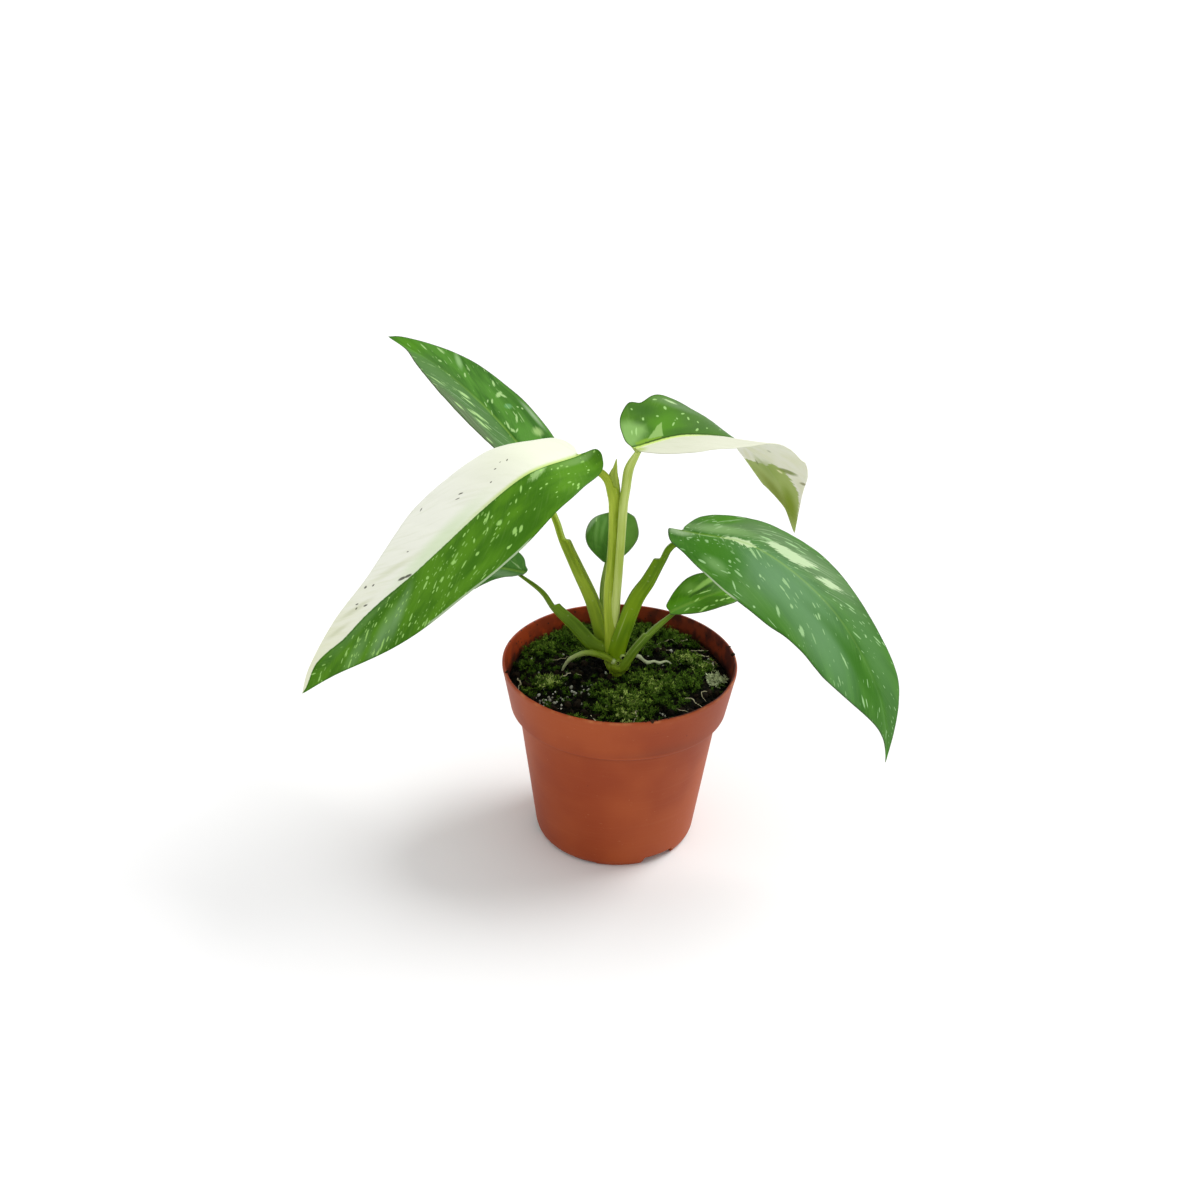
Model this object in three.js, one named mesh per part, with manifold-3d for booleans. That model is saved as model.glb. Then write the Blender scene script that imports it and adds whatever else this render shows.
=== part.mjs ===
// Potted variegated philodendron: seven leaves on sheathed petioles, in a nursery pot filled with soil.
// Millimetres, +Z up. The origin is the middle of the pot's flat base, where it stands.
import * as THREE from "three";
import { mergeVertices } from "three/addons/utils/BufferGeometryUtils.js";
import Module from "manifold-3d";

const wasm = await Module();
wasm.setup();

// Clearance left between two pieces that touch
const seatGap = 0.3;

// Nursery pot: a tapered body, a collar that flares to the rim, and a foot ring round a raised channel
const pot = {
  height: 100,
  rimRadius: 60,
  collarRadius: 55.5,
  collarBottom: 75.5,
  shoulderRadius: 51.5,
  shoulderHeight: 74.3,
  bodyBottomRadius: 41.5,
  bodyBottom: 3,
  footRadius: 39.4,
  footWidth: 2.2,
  baseRadius: 24,
  baseSlope: 3,
  channelHeight: 4,
  wall: 1.2,
  rounding: 0.4,
  innerStep: 3,
  segments: 60,
};

// Notches cut in the foot ring: three deep ones, each with a wider slim one beside it. Angles are in degrees
const footNotches = {
  count: 3,
  deep: { angle: -55, width: 26, height: 5 },
  slim: { angle: -126, width: 46, height: 1.2 },
  margin: 2,
};
const drainHoles = { count: 6, radius: 3, circle: 32.5, firstAngle: -55, sides: 12 };

// Soil: its level at the wall and round the crown, and the low mounds of its surface
const soil = {
  edgeLevel: 88.5, middleLevel: 92, mounds: 0.9, inset: 0.4, corner: 1.4, rings: 9, segments: 48,
};

// Crown: the short thick stem that the petioles rise from, rooted in the soil
const crown = {
  x: -1, y: 0, top: 105, belly: 99, bellyRadius: 7, neck: 93, neckRadius: 4.2, bottom: 80, segments: 20,
};

// Blades: thickness at the margin, extra depth of the midrib below and its half width at the base; the share
// of the margin whose side veins fan out from the base, and how the veins and the mesh lines bend and crowd;
// how far behind the base a lobe has its full lift, and the share of the blade that hooks at the tip
const blade = {
  thickness: 0.8,
  ribDepth: 1.3,
  ribWidth: 1.6,
  fanShare: 0.16,
  veinSpread: 1.1,
  veinBend: 0.25,
  rowCrowding: 1.3,
  columnCrowding: 1.6,
  lobe: 8,
  hookShare: 0.08,
};

// Petioles: sides and steps of the tube, the channel between the sheath's wings, where the wings open and
// fade, and the share that they narrow by
const stalk = {
  sides: 12,
  steps: 14,
  stepsPerPoint: 3,
  wingShape: 0.8,
  channelDepth: 0.55,
  channelWidth: 0.35,
  opening: 0.15,
  narrowing: 0.5,
  fade: 0.04,
};

// How a small leaf's halves lie
const gentle = { rear: 0, fold: [8, 8], curl: [0, 0], wave: [0, 1, 0] };

// Each leaf, with places along it from base to tip:
//   midrib   points that the midrib passes through
//   facing   directions that the upper face looks in
//   hook   how far the tip bends to the left
//   left, right   the two halves as seen from above with the tip ahead: margin, the points of its edge between
//   base and tip, along and across from the base; rear, the lift of a lobe behind the base; fold and curl,
//   degrees that the half rises at the midrib and gains by the margin; wave, height, count and phase of the
//   margin's waves
//   petiole   its path and radius, the side that its sheath opens to, where the sheath ends and how high it
//   is, and seat, how far along the midrib the petiole meets its blade
const leaves = {
  half_moon: {
    midrib: [[-24, 0, 214], [-51, -18, 209], [-85, -37, 182], [-118, -50, 151], [-152, -60, 112]],
    facing: [[0, -0.3, 1], [-0.2, -0.4, 0.9], [-0.4, -0.5, 0.8], [-0.4, -0.6, 0.7]],
    hook: 0,
    left: {
      margin: [
        [-6.5, 3], [-8, 6.5], [-7, 11], [-3, 16.5], [9, 21.5], [21.5, 27], [38, 30], [62, 32], [85, 31.5],
        [128, 23], [162, 7],
      ],
      rear: 3.5, fold: [0, 0], curl: [0, -5.5, 0], wave: [1.5, 2.5, 0.1],
    },
    right: {
      margin: [
        [-1, 2.5], [-1.5, 7], [1, 20], [6.5, 27], [15, 31.5], [27, 34], [46, 34.5], [72, 35], [86, 32],
        [97, 27], [120, 18], [145, 13.5], [169, 6.5],
      ],
      rear: 0, fold: [10, 10], curl: [-68, -23, 0], wave: [3.1, 0.8, 0.27],
    },
    rows: 24,
    columns: 6,
    petiole: {
      path: [
        [-5, -1, 100], [-6, -1, 116], [-7, 1, 138], [-6, 2, 158],
        [-6, 2, 180], [-7, 1, 192.5], [-11.5, 0, 204], [-24, 0, 213],
      ],
      radius: [2.4, 2.3, 2.2, 2.1, 1.9, 1.9, 2, 2],
      inner: [1, 0.3, 0],
      sheath: { end: 0.76, height: 5 },
      seat: 3,
      spike: {
        path: [
          [-4, 1.5, 183], [-4.5, 1.5, 190], [-5.5, 1.5, 197],
          [-6.2, 1.5, 202.5], [-5.5, 1.5, 207], [-5, 1.5, 211.5],
        ],
        radius: [1.2, 2.2, 2.6, 2.3, 1.1, 0.2],
        steps: 10,
      },
    },
  },
  upper_left: {
    midrib: [[-48, 45, 191], [-73, 74, 206], [-100, 100, 218], [-128, 118, 227]],
    facing: [[0.4, -0.3, 0.9], [0.4, -0.3, 0.9], [0.2, -0.3, 0.9]],
    hook: 0,
    left: {
      margin: [
        [-4, 1.5], [-7, 5], [-5.5, 11], [2, 17], [15.5, 20.5], [32, 22], [50, 22], [62, 20], [86, 11], [102, 2],
      ],
      rear: 1.5, fold: [10, 10], curl: [0, 0], wave: [0.6, 2, 0.2],
    },
    right: {
      margin: [
        [-4, 1.5], [-8, 5], [-7, 11.5], [0, 18], [12.5, 21], [29, 21], [47, 21.5], [60, 20], [84, 13.5], [108, 5],
      ],
      rear: 1.5, fold: [10, 10], curl: [0, 0], wave: [0.8, 2.5, 0.6],
    },
    rows: 20,
    columns: 5,
    petiole: {
      path: [
        [-5, 1, 100], [-10, 6, 108], [-16, 14, 125], [-24, 22, 140],
        [-31, 29, 153], [-36, 36, 164], [-48, 45, 190],
      ],
      radius: [2.4, 2.3, 2.2, 2.1, 1.9, 1.8, 1.7],
      inner: [0.7, -0.5, 0.3],
      sheath: { end: 0.66, height: 6.5 },
      seat: 3,
    },
  },
  upper_right: {
    midrib: [[4, 0, 218], [29, 26, 214], [57, 52, 201], [81, 71, 171], [93, 80, 136]],
    facing: [[-0.3, 0, 1], [0, 0.3, 1], [0.15, 0.75, 0.55], [0.15, 1, 0.1]],
    hook: 0,
    left: {
      margin: [
        [-3, 4.5], [-2, 10], [0, 14.5], [4.5, 19], [13.5, 23.5], [19.5, 22], [23, 22.5], [33.5, 25.5],
        [47, 23.5], [61, 19], [74, 18], [92, 18], [112, 16], [125, 13], [129, 10], [138.5, 3.5], [144, 1.5],
      ],
      rear: 0, fold: [50, 47, 27, 25, 20], curl: [0, 0], wave: [1.4, 2, 0.1],
    },
    right: {
      margin: [
        [-1, 4], [1, 8.5], [7, 16], [15.5, 21.5], [21, 24], [28, 24.5], [42, 25], [75, 23], [104, 19.5],
        [110, 20], [120, 16.5], [133, 9],
      ],
      rear: 0, fold: [-8, -6, 0, 0], curl: [0, 0], wave: [0.7, 2, 0],
    },
    rows: 24,
    columns: 5,
    petiole: {
      path: [
        [-2, 2, 100], [-3, 1, 111], [-3, -0.5, 130], [-2, -2, 149], [-1, -2, 167],
        [0, -1, 187.5], [1, 0, 197], [2, 1, 207], [4, 0, 217],
      ],
      radius: [2.4, 2.3, 2.2, 2.1, 1.9, 1.9, 1.9, 2, 2],
      inner: [-0.6, 0.8, 0],
      sheath: { end: 0.3, height: 1 },
      seat: 1,
    },
  },
  right: {
    midrib: [[29, 0, 175], [65, -15, 174], [101, -32, 151], [125, -44, 114], [134, -50, 78]],
    facing: [[0, -0.4, 1], [0.4, -0.5, 0.8], [0.6, -0.6, 0.4], [0.8, -0.6, 0.1]],
    hook: -4,
    left: {
      margin: [
        [-1, 5], [1, 15.5], [5, 20], [11, 22], [25, 23], [45, 25.5], [62.5, 26], [86, 21], [97, 19.5],
        [108, 19], [131.5, 19], [146, 14], [164.5, 2.5],
      ],
      rear: 0, fold: [-20, -10, 0], curl: [0, 0], wave: [0.9, 2, 0.2],
    },
    right: {
      margin: [
        [-6, 1], [-6.5, 3.5], [-2, 11.5], [6.5, 17.5], [17.5, 25.5], [32.5, 32.5], [46, 34.5], [65.5, 33],
        [78, 30.5], [90, 30], [102, 30], [112, 27.5], [134.5, 16.5], [152, 5.5], [164, 1],
      ],
      rear: 1, fold: [15, -5, 0, 0], curl: [0, 0], wave: [1.2, 3, 0.4],
    },
    rows: 24,
    columns: 6,
    petiole: {
      path: [
        [0, -2, 101], [1, -2, 110], [8, -1, 134], [14, -1, 146], [19.5, 0, 158], [23.5, 0, 166], [29, 0, 174],
      ],
      radius: [2.6, 2.5, 2.3, 2.1, 1.8, 1.7, 1.6],
      inner: [-1, 0, 0.6],
      sheath: { end: 0.66, height: 6 },
      seat: 3,
    },
  },
  back_small: {
    midrib: [[-8, 30, 141], [-6, 40, 152], [-1, 52, 160]],
    facing: [[0, -1, 0.3], [0, -0.8, 0.6], [0, -0.3, 1]],
    hook: 0,
    left: { ...gentle, margin: [[0, 2.5], [6.5, 10.5], [13, 13], [20, 11], [27, 4.5]] },
    right: { ...gentle, margin: [[0.5, 3], [2, 6], [7.5, 11], [14, 13.5], [20.5, 13], [27, 9], [29, 5.5]] },
    rows: 14,
    columns: 4,
    petiole: {
      path: [[-4, 4, 102], [-8, 12, 114], [-10, 22, 129], [-8, 30, 140]],
      radius: [1.8, 1.6, 1.3, 1.1],
      inner: [0, -0.5, 1],
      sheath: { end: 0.45, height: 1.5 },
      seat: 3,
    },
  },
  left_small: {
    midrib: [[-50, 16, 141], [-66, 20, 141], [-82, 24, 135.5], [-97, 28, 126]],
    facing: [[-0.1, -0.5, 1], [-0.1, -0.5, 1]],
    hook: 0,
    left: { ...gentle, margin: [[0.5, 1.5], [4.5, 4], [9.5, 6], [20, 12], [26, 14.5], [35, 14], [44, 8.5]] },
    right: {
      ...gentle,
      margin: [[-1.5, 1.5], [0, 3.5], [2, 7.5], [6, 10.5], [12, 12.5], [20, 13], [28, 11.5], [38, 7.5]],
    },
    rows: 15,
    columns: 4,
    petiole: {
      path: [[-8, -2, 99], [-16, 0, 104], [-26, 4, 116], [-34, 7, 125], [-41, 11, 133], [-50, 16, 140]],
      radius: [2, 2, 1.8, 1.5, 1.3, 1.2],
      inner: [0.6, 0.3, 1],
      sheath: { end: 0.62, height: 5.5 },
      seat: 3,
    },
  },
  right_small: {
    midrib: [[25, 8, 125], [36, 13, 128], [50, 21, 130], [66, 32, 128]],
    facing: [[0, -0.5, 1], [0, -0.5, 1]],
    hook: 0,
    left: { ...gentle, margin: [[-0.5, 3], [1, 5], [8.5, 10], [18.5, 13.5], [30, 12], [44, 4]] },
    right: { ...gentle, margin: [[-0.5, 1.5], [3.5, 4], [12.5, 8], [23, 9.5], [35, 8.5]] },
    rows: 14,
    columns: 4,
    petiole: {
      path: [[-1, -4, 97], [2, -5, 99], [9, -2, 109], [17, 3, 117], [25, 8, 124]],
      radius: [2, 1.9, 1.8, 1.7, 1.4],
      inner: [-0.5, 0, 1],
      sheath: { end: 0.66, height: 2.6 },
      seat: 3,
    },
  },
};

// Aerial roots: they leave the crown above the soil and dip into it
const roots = {
  left: {
    path: [[-4, -3, 102], [-11, -6, 107], [-18, -7, 108], [-25, -4, 102], [-30, 2, 87]],
    radius: [1.7, 1.6, 1.3, 1, 0.7],
    steps: 14,
  },
  right: {
    path: [
      [3, -2, 104], [8, -1.5, 103], [12, 0, 99.5], [15, 1, 97], [19, 3, 96], [23, 6, 94], [26, 9, 88],
    ],
    radius: [1, 0.8, 0.7, 0.7, 0.6],
    steps: 14,
  },
};
const rootSides = 8;

// Smooth curve through evenly spaced values, which are numbers or points, at t from 0 to 1
function along(values, t) {
  if (typeof values[0] === "number") return along(values.map((value) => [value]), t)[0];
  const last = values.length - 1;
  const place = THREE.MathUtils.clamp(t, 0, 1) * last;
  const step = Math.min(Math.floor(place), last - 1);
  const w = place - step;
  const [b, c] = [values[step], values[step + 1]];
  const a = step > 0 ? values[step - 1] : b.map((value, i) => 2 * value - c[i]);
  const d = step + 2 <= last ? values[step + 2] : c.map((value, i) => 2 * value - b[i]);
  return b.map((value, i) => 0.5 * (2 * value + (c[i] - a[i]) * w
    + (2 * a[i] - 5 * value + 4 * c[i] - d[i]) * w * w + (3 * value - a[i] - 3 * c[i] + d[i]) * w ** 3));
}

const vector = (values) => new THREE.Vector3(...values);

// Part of a direction that is square to the axis, at unit length
function squareTo(direction, axis) {
  return direction.clone().addScaledVector(axis, -direction.dot(axis)).normalize();
}

// Closed solid from a geometry whose coincident vertices are joined and whose empty faces are dropped
function solid(geometry) {
  const bare = new THREE.BufferGeometry();
  bare.setAttribute("position", geometry.attributes.position);
  if (geometry.index) bare.setIndex(geometry.index);
  const joined = mergeVertices(bare, 1e-4);
  const faces = [];
  for (let i = 0; i < joined.index.count; i += 3) {
    const [a, b, c] = [0, 1, 2].map((k) => joined.index.getX(i + k));
    if (a !== b && b !== c && c !== a) faces.push(a, b, c);
  }
  const body = (triVerts) => new wasm.Manifold(new wasm.Mesh({
    numProp: 3,
    vertProperties: new Float32Array(joined.attributes.position.array),
    triVerts: new Uint32Array(triVerts),
  }));
  const outward = body(faces);
  return outward.volume() > 0 ? outward : body(faces.reverse());
}

// Largest connected body of a cut piece
function mainBody(body) {
  const pieces = body.decompose();
  return pieces.reduce((best, piece) => (piece.volume() > best.volume() ? piece : best));
}

// Geometry of a solid, for its mesh
function toGeometry(body) {
  const { vertProperties, triVerts } = body.getMesh();
  const geometry = new THREE.BufferGeometry();
  geometry.setAttribute("position", new THREE.BufferAttribute(vertProperties, 3));
  geometry.setIndex(new THREE.BufferAttribute(triVerts, 1));
  geometry.computeVertexNormals();
  return geometry;
}

// Closed tube through rings of points, with a flat cap at each end
function loft(rings) {
  const sides = rings[0].length;
  const positions = rings.flat().flatMap((point) => point.toArray());
  const faces = [];
  for (let j = 0; j + 1 < rings.length; j += 1) {
    for (let k = 0; k < sides; k += 1) {
      const [a, b] = [j * sides + k, j * sides + (k + 1) % sides];
      faces.push(a, b, b + sides, a, b + sides, a + sides);
    }
  }
  for (const [start, flip] of [[0, true], [(rings.length - 1) * sides, false]]) {
    const centre = positions.length / 3;
    const middle = rings[start / sides].reduce((sum, point) => sum.add(point), new THREE.Vector3());
    positions.push(...middle.divideScalar(sides).toArray());
    for (let k = 0; k < sides; k += 1) {
      const [a, b] = [start + k, start + (k + 1) % sides];
      faces.push(centre, flip ? b : a, flip ? a : b);
    }
  }
  const geometry = new THREE.BufferGeometry();
  geometry.setAttribute("position", new THREE.Float32BufferAttribute(positions, 3));
  geometry.setIndex(faces);
  return solid(geometry);
}

// Rings of a round or winged tube: at(t) gives its centre, radius, inner side and the height of its wings
function tubeRings(steps, sides, at) {
  const rings = [];
  for (let j = 0; j <= steps; j += 1) {
    const { centre, tangent, radius, inner, wing } = at(j / steps);
    const up = squareTo(inner, tangent);
    const across = new THREE.Vector3().crossVectors(up, tangent);
    const ring = [];
    for (let k = 0; k < sides; k += 1) {
      const angle = (2 * Math.PI * k) / sides;
      const raised = Math.max(0, Math.sin(angle)) ** stalk.wingShape;
      const channel = 1 - stalk.channelDepth * Math.exp(-((Math.cos(angle) / stalk.channelWidth) ** 2));
      const rise = radius * Math.sin(angle) + wing * raised * channel;
      ring.push(centre.clone().addScaledVector(across, radius * Math.cos(angle)).addScaledVector(up, rise));
    }
    rings.push(ring);
  }
  return rings;
}

// Centre and direction of a smooth path through points, at t
function onPath(path, t) {
  const step = 1e-3;
  const tangent = vector(along(path, Math.min(1, t + step))).sub(vector(along(path, Math.max(0, t - step))));
  return { centre: vector(along(path, t)), tangent: tangent.normalize() };
}

// Solid of revolution about the Z axis from a profile of [radius, height] points
function turned(profile, segments) {
  const points = profile.map(([radius, height]) => new THREE.Vector2(radius, height));
  return new THREE.LatheGeometry(points, segments).rotateX(Math.PI / 2);
}

// Length of a leaf's midrib, with the curve parameter at each of its even steps
function midribScale(midrib) {
  const steps = 200;
  const travelled = [0];
  for (let i = 1; i <= steps; i += 1) {
    const chord = vector(along(midrib, i / steps)).distanceTo(vector(along(midrib, (i - 1) / steps)));
    travelled.push(travelled[i - 1] + chord);
  }
  const length = travelled[steps];
  const parameter = (distance) => {
    const next = Math.max(1, travelled.findIndex((value) => value >= distance));
    const share = (distance - travelled[next - 1]) / (travelled[next] - travelled[next - 1]);
    return (next - 1 + share) / steps;
  };
  return { length, parameter };
}

// Midrib point and directions (along, across to the left, up from the upper face) at a distance from the base
function bladeFrame(leaf, distance) {
  const within = THREE.MathUtils.clamp(distance, 0, leaf.scale.length);
  const { centre, tangent } = onPath(leaf.midrib, leaf.scale.parameter(within));
  const up = squareTo(vector(along(leaf.facing, within / leaf.scale.length)), tangent);
  return {
    origin: centre.addScaledVector(tangent, distance - within),
    tangent,
    left: new THREE.Vector3().crossVectors(up, tangent),
    up,
  };
}

// Place on a smooth outline at a share of its length
function alongOutline(points, share) {
  const chords = points.slice(1).map(([x, y], i) => Math.hypot(x - points[i][0], y - points[i][1]));
  let rest = share * chords.reduce((sum, chord) => sum + chord, 0);
  let step = 0;
  while (step < chords.length - 1 && rest > chords[step]) {
    rest -= chords[step];
    step += 1;
  }
  return along(points, (step + Math.min(1, rest / chords[step])) / chords.length);
}

// Point of a blade's upper face: v runs round the half's margin from base to tip, q from midrib to margin,
// along the course of the side veins
function bladePoint(leaf, side, v, q) {
  const half = side > 0 ? leaf.left : leaf.right;
  const { length } = leaf.scale;
  const [marginX, marginY] = alongOutline([[0, 0], ...half.margin, [length, 0]], v);
  const veinStart = length * Math.max(0, (v - blade.fanShare) / (1 - blade.fanShare)) ** blade.veinSpread;
  const x = veinStart + (marginX - veinStart) * ((1 - blade.veinBend) * q + blade.veinBend * q * q);
  const y = marginY * q;
  const frame = bladeFrame(leaf, x);
  const place = THREE.MathUtils.clamp(x / length, 0, 1);
  const out = y / Math.max(...half.margin.map(([, across]) => across));
  const bend = THREE.MathUtils.degToRad(along(half.curl, place)) * out * 0.5;
  const angle = THREE.MathUtils.degToRad(along(half.fold, place)) + bend;
  const chord = Math.abs(bend) > 1e-6 ? (y * Math.sin(bend)) / bend : y;
  const [height, count, phase] = half.wave;
  const swell = height * out * out * Math.sqrt(Math.sin(Math.PI * place));
  const wave = swell * Math.sin(2 * Math.PI * (count * place + phase));
  const lobeLift = half.rear * (Math.max(0, -x) / blade.lobe) ** 2;
  const hook = leaf.hook * (Math.max(0, place - 1 + blade.hookShare) / blade.hookShare) ** 2;
  const point = frame.origin
    .addScaledVector(frame.left, side * chord * Math.cos(angle) + hook)
    .addScaledVector(frame.up, chord * Math.sin(angle) + wave + lobeLift);
  const rib = blade.ribDepth * (1 - place) * Math.exp(-((y / blade.ribWidth) ** 2));
  return { point, depth: blade.thickness + rib };
}

// Blade as a solid: the upper face, a lower face split into the same triangles, and the margin between them.
// grow thickens it on both faces, for cutting its seat in a neighbour
function bladeSolid(leaf, grow = 0) {
  const { rows, columns } = leaf;
  const positions = [];
  const depths = [];
  const faces = [];
  for (const side of [1, -1]) {
    const first = depths.length;
    for (let j = 0; j <= rows; j += 1) {
      for (let k = 0; k <= columns; k += 1) {
        const v = (j / rows) ** blade.rowCrowding;
        const q = (k / columns) ** blade.columnCrowding;
        const { point, depth } = bladePoint(leaf, side, v, q);
        positions.push(...point.toArray());
        depths.push(depth);
      }
    }
    for (let j = 0; j < rows; j += 1) {
      for (let k = 0; k < columns; k += 1) {
        const a = first + j * (columns + 1) + k;
        const [b, c, d] = [a + columns + 1, a + columns + 2, a + 1];
        faces.push(...(side > 0 ? [a, b, c, a, c, d] : [a, c, b, a, d, c]));
      }
    }
  }
  const sheet = new THREE.BufferGeometry();
  sheet.setAttribute("position", new THREE.Float32BufferAttribute(positions, 3));
  sheet.setAttribute("depth", new THREE.Float32BufferAttribute(depths, 1));
  sheet.setIndex(faces);
  const upper = mergeVertices(sheet, 1e-3);
  upper.computeVertexNormals();
  const count = upper.attributes.position.count;
  const both = [...upper.attributes.position.array];
  const lower = [];
  for (let i = 0; i < count; i += 1) {
    for (const axis of [0, 1, 2]) {
      const normal = upper.attributes.normal.getComponent(i, axis);
      const top = upper.attributes.position.getComponent(i, axis);
      both[i * 3 + axis] = top + normal * grow;
      lower.push(top - normal * (upper.attributes.depth.getX(i) + grow));
    }
  }
  const skin = [];
  const edges = new Map();
  for (let i = 0; i < upper.index.count; i += 3) {
    const [a, b, c] = [0, 1, 2].map((k) => upper.index.getX(i + k));
    if (a === b || b === c || c === a) continue;
    skin.push(a, b, c, count + a, count + c, count + b);
    for (const [from, to] of [[a, b], [b, c], [c, a]]) {
      if (!edges.delete(`${to} ${from}`)) edges.set(`${from} ${to}`, [from, to]);
    }
  }
  for (const [from, to] of edges.values()) {
    skin.push(to, from, count + from, to, count + from, count + to);
  }
  const geometry = new THREE.BufferGeometry();
  geometry.setAttribute("position", new THREE.Float32BufferAttribute([...both, ...lower], 3));
  geometry.setIndex(skin);
  return solid(geometry);
}

// Round tube that tapers along a path, such as a root
function plainTube({ path, radius, steps }, grow = 0) {
  const at = (t) => ({
    ...onPath(path, t),
    radius: along(radius, t) + grow,
    inner: new THREE.Vector3(0.3, 1, 0.2),
    wing: 0,
  });
  return loft(tubeRings(steps, rootSides, at));
}

// Petiole: a round stalk with sheath wings on its inner side, ending under the base of its blade
function petioleSolid(leaf, grow = 0) {
  const { path, radius, inner, sheath, seat, spike } = leaf.petiole;
  const frame = bladeFrame(leaf, seat);
  const under = blade.thickness + seatGap + radius.at(-1);
  const joined = [...path.slice(0, -1), frame.origin.addScaledVector(frame.up, -under).toArray()];
  const at = (t) => {
    const fade = THREE.MathUtils.smoothstep(sheath.end + stalk.fade / 2 - t, 0, stalk.fade);
    const opening = THREE.MathUtils.smoothstep(t, 0, stalk.opening);
    const narrowed = 1 - stalk.narrowing * Math.min(1, t / sheath.end);
    return {
      ...onPath(joined, t),
      radius: along(radius, t) + grow,
      inner: vector(inner),
      wing: sheath.height * fade * narrowed * (0.5 + 0.5 * opening),
    };
  };
  const steps = Math.max(stalk.steps, stalk.stepsPerPoint * path.length);
  const body = loft(tubeRings(steps, stalk.sides, at));
  return spike ? body.add(plainTube(spike, grow)) : body;
}

// Crown: a short stem, swollen just above the soil
function crownSolid(grow = 0) {
  const outline = [
    [0, crown.bottom - grow],
    [0.8 * crown.neckRadius + grow, crown.bottom + 1 - grow],
    [crown.neckRadius + grow, crown.neck],
    [0.86 * crown.bellyRadius + grow, 0.5 * (crown.neck + crown.belly) + 0.4],
    [crown.bellyRadius + grow, crown.belly],
    [0.8 * crown.bellyRadius + grow, 0.45 * crown.belly + 0.55 * crown.top + 0.3],
    [0, crown.top + grow],
  ];
  return solid(turned(outline, crown.segments).translate(crown.x, crown.y, 0));
}

// Inner wall radius of the pot at a height
function innerRadius(height) {
  const { mapLinear } = THREE.MathUtils;
  const outer = height < pot.collarBottom
    ? mapLinear(height, pot.bodyBottom, pot.shoulderHeight, pot.bodyBottomRadius, pot.shoulderRadius)
    : mapLinear(height, pot.collarBottom, pot.height, pot.collarRadius, pot.rimRadius);
  return outer - pot.wall;
}

// Prism over a sector of a ring, for the notches of the foot
function footSector(from, to, height) {
  const inside = pot.footRadius - pot.footWidth - footNotches.margin;
  const outside = pot.bodyBottomRadius + 2 * footNotches.margin;
  const shape = new THREE.Shape();
  shape.absarc(0, 0, outside, from, to, false);
  shape.absarc(0, 0, inside, to, from, true);
  shape.closePath();
  const depth = height + footNotches.margin;
  const geometry = new THREE.ExtrudeGeometry(shape, { depth, bevelEnabled: false, curveSegments: 6 });
  return solid(geometry.translate(0, 0, -footNotches.margin));
}

function potSolid() {
  const { height, rimRadius, wall, rounding, channelHeight, footRadius, baseRadius } = pot;
  const floorTop = channelHeight + wall;
  const footInside = footRadius - pot.footWidth;
  const profile = [
    [0, 0],
    [baseRadius, 0],
    [baseRadius + pot.baseSlope, channelHeight],
    [footInside - rounding, channelHeight],
    [footInside, rounding],
    [footInside + rounding, 0],
    [footRadius, 0],
    [footRadius + 3 * rounding, 2 * rounding],
    [pot.bodyBottomRadius, pot.bodyBottom],
    [pot.shoulderRadius, pot.shoulderHeight],
    [pot.collarRadius - 2 * rounding, pot.collarBottom - rounding],
    [pot.collarRadius, pot.collarBottom + 2 * rounding],
    [rimRadius - rounding, height - 4 * rounding],
    [rimRadius, height - 2 * rounding],
    [rimRadius - rounding, height],
    [rimRadius - wall, height],
    [rimRadius - wall - rounding, height - 2 * rounding],
    [innerRadius(pot.collarBottom + pot.innerStep), pot.collarBottom + pot.innerStep],
    [innerRadius(pot.shoulderHeight - rounding), pot.shoulderHeight - rounding],
    [innerRadius(floorTop + wall), floorTop + wall],
    [innerRadius(floorTop) - wall, floorTop],
    [baseRadius + pot.baseSlope - rounding, floorTop],
    [baseRadius - rounding, wall],
    [0, wall],
  ];
  let body = solid(turned(profile, pot.segments));
  const turn = THREE.MathUtils.degToRad;
  for (let i = 0; i < footNotches.count; i += 1) {
    for (const notch of [footNotches.deep, footNotches.slim]) {
      const middle = notch.angle + (i * 360) / footNotches.count;
      const [from, to] = [turn(middle - notch.width / 2), turn(middle + notch.width / 2)];
      body = body.subtract(footSector(from, to, notch.height));
    }
  }
  for (let i = 0; i < drainHoles.count; i += 1) {
    const angle = turn(drainHoles.firstAngle + (i * 360) / drainHoles.count);
    const { radius, circle, sides } = drainHoles;
    const hole = new THREE.CylinderGeometry(radius, radius, 4 * wall, sides).rotateX(Math.PI / 2);
    hole.translate(circle * Math.cos(angle), circle * Math.sin(angle), channelHeight + wall / 2);
    body = body.subtract(solid(hole));
  }
  return mainBody(body);
}

// Height of the soil's mounds above its even slope
function mound(x, y) {
  const broad = Math.sin(0.21 * x + 0.6) * Math.cos(0.17 * y - 0.4);
  const small = 0.6 * Math.sin(0.33 * x - 0.29 * y + 1.1);
  return soil.mounds * (broad + small);
}

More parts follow.
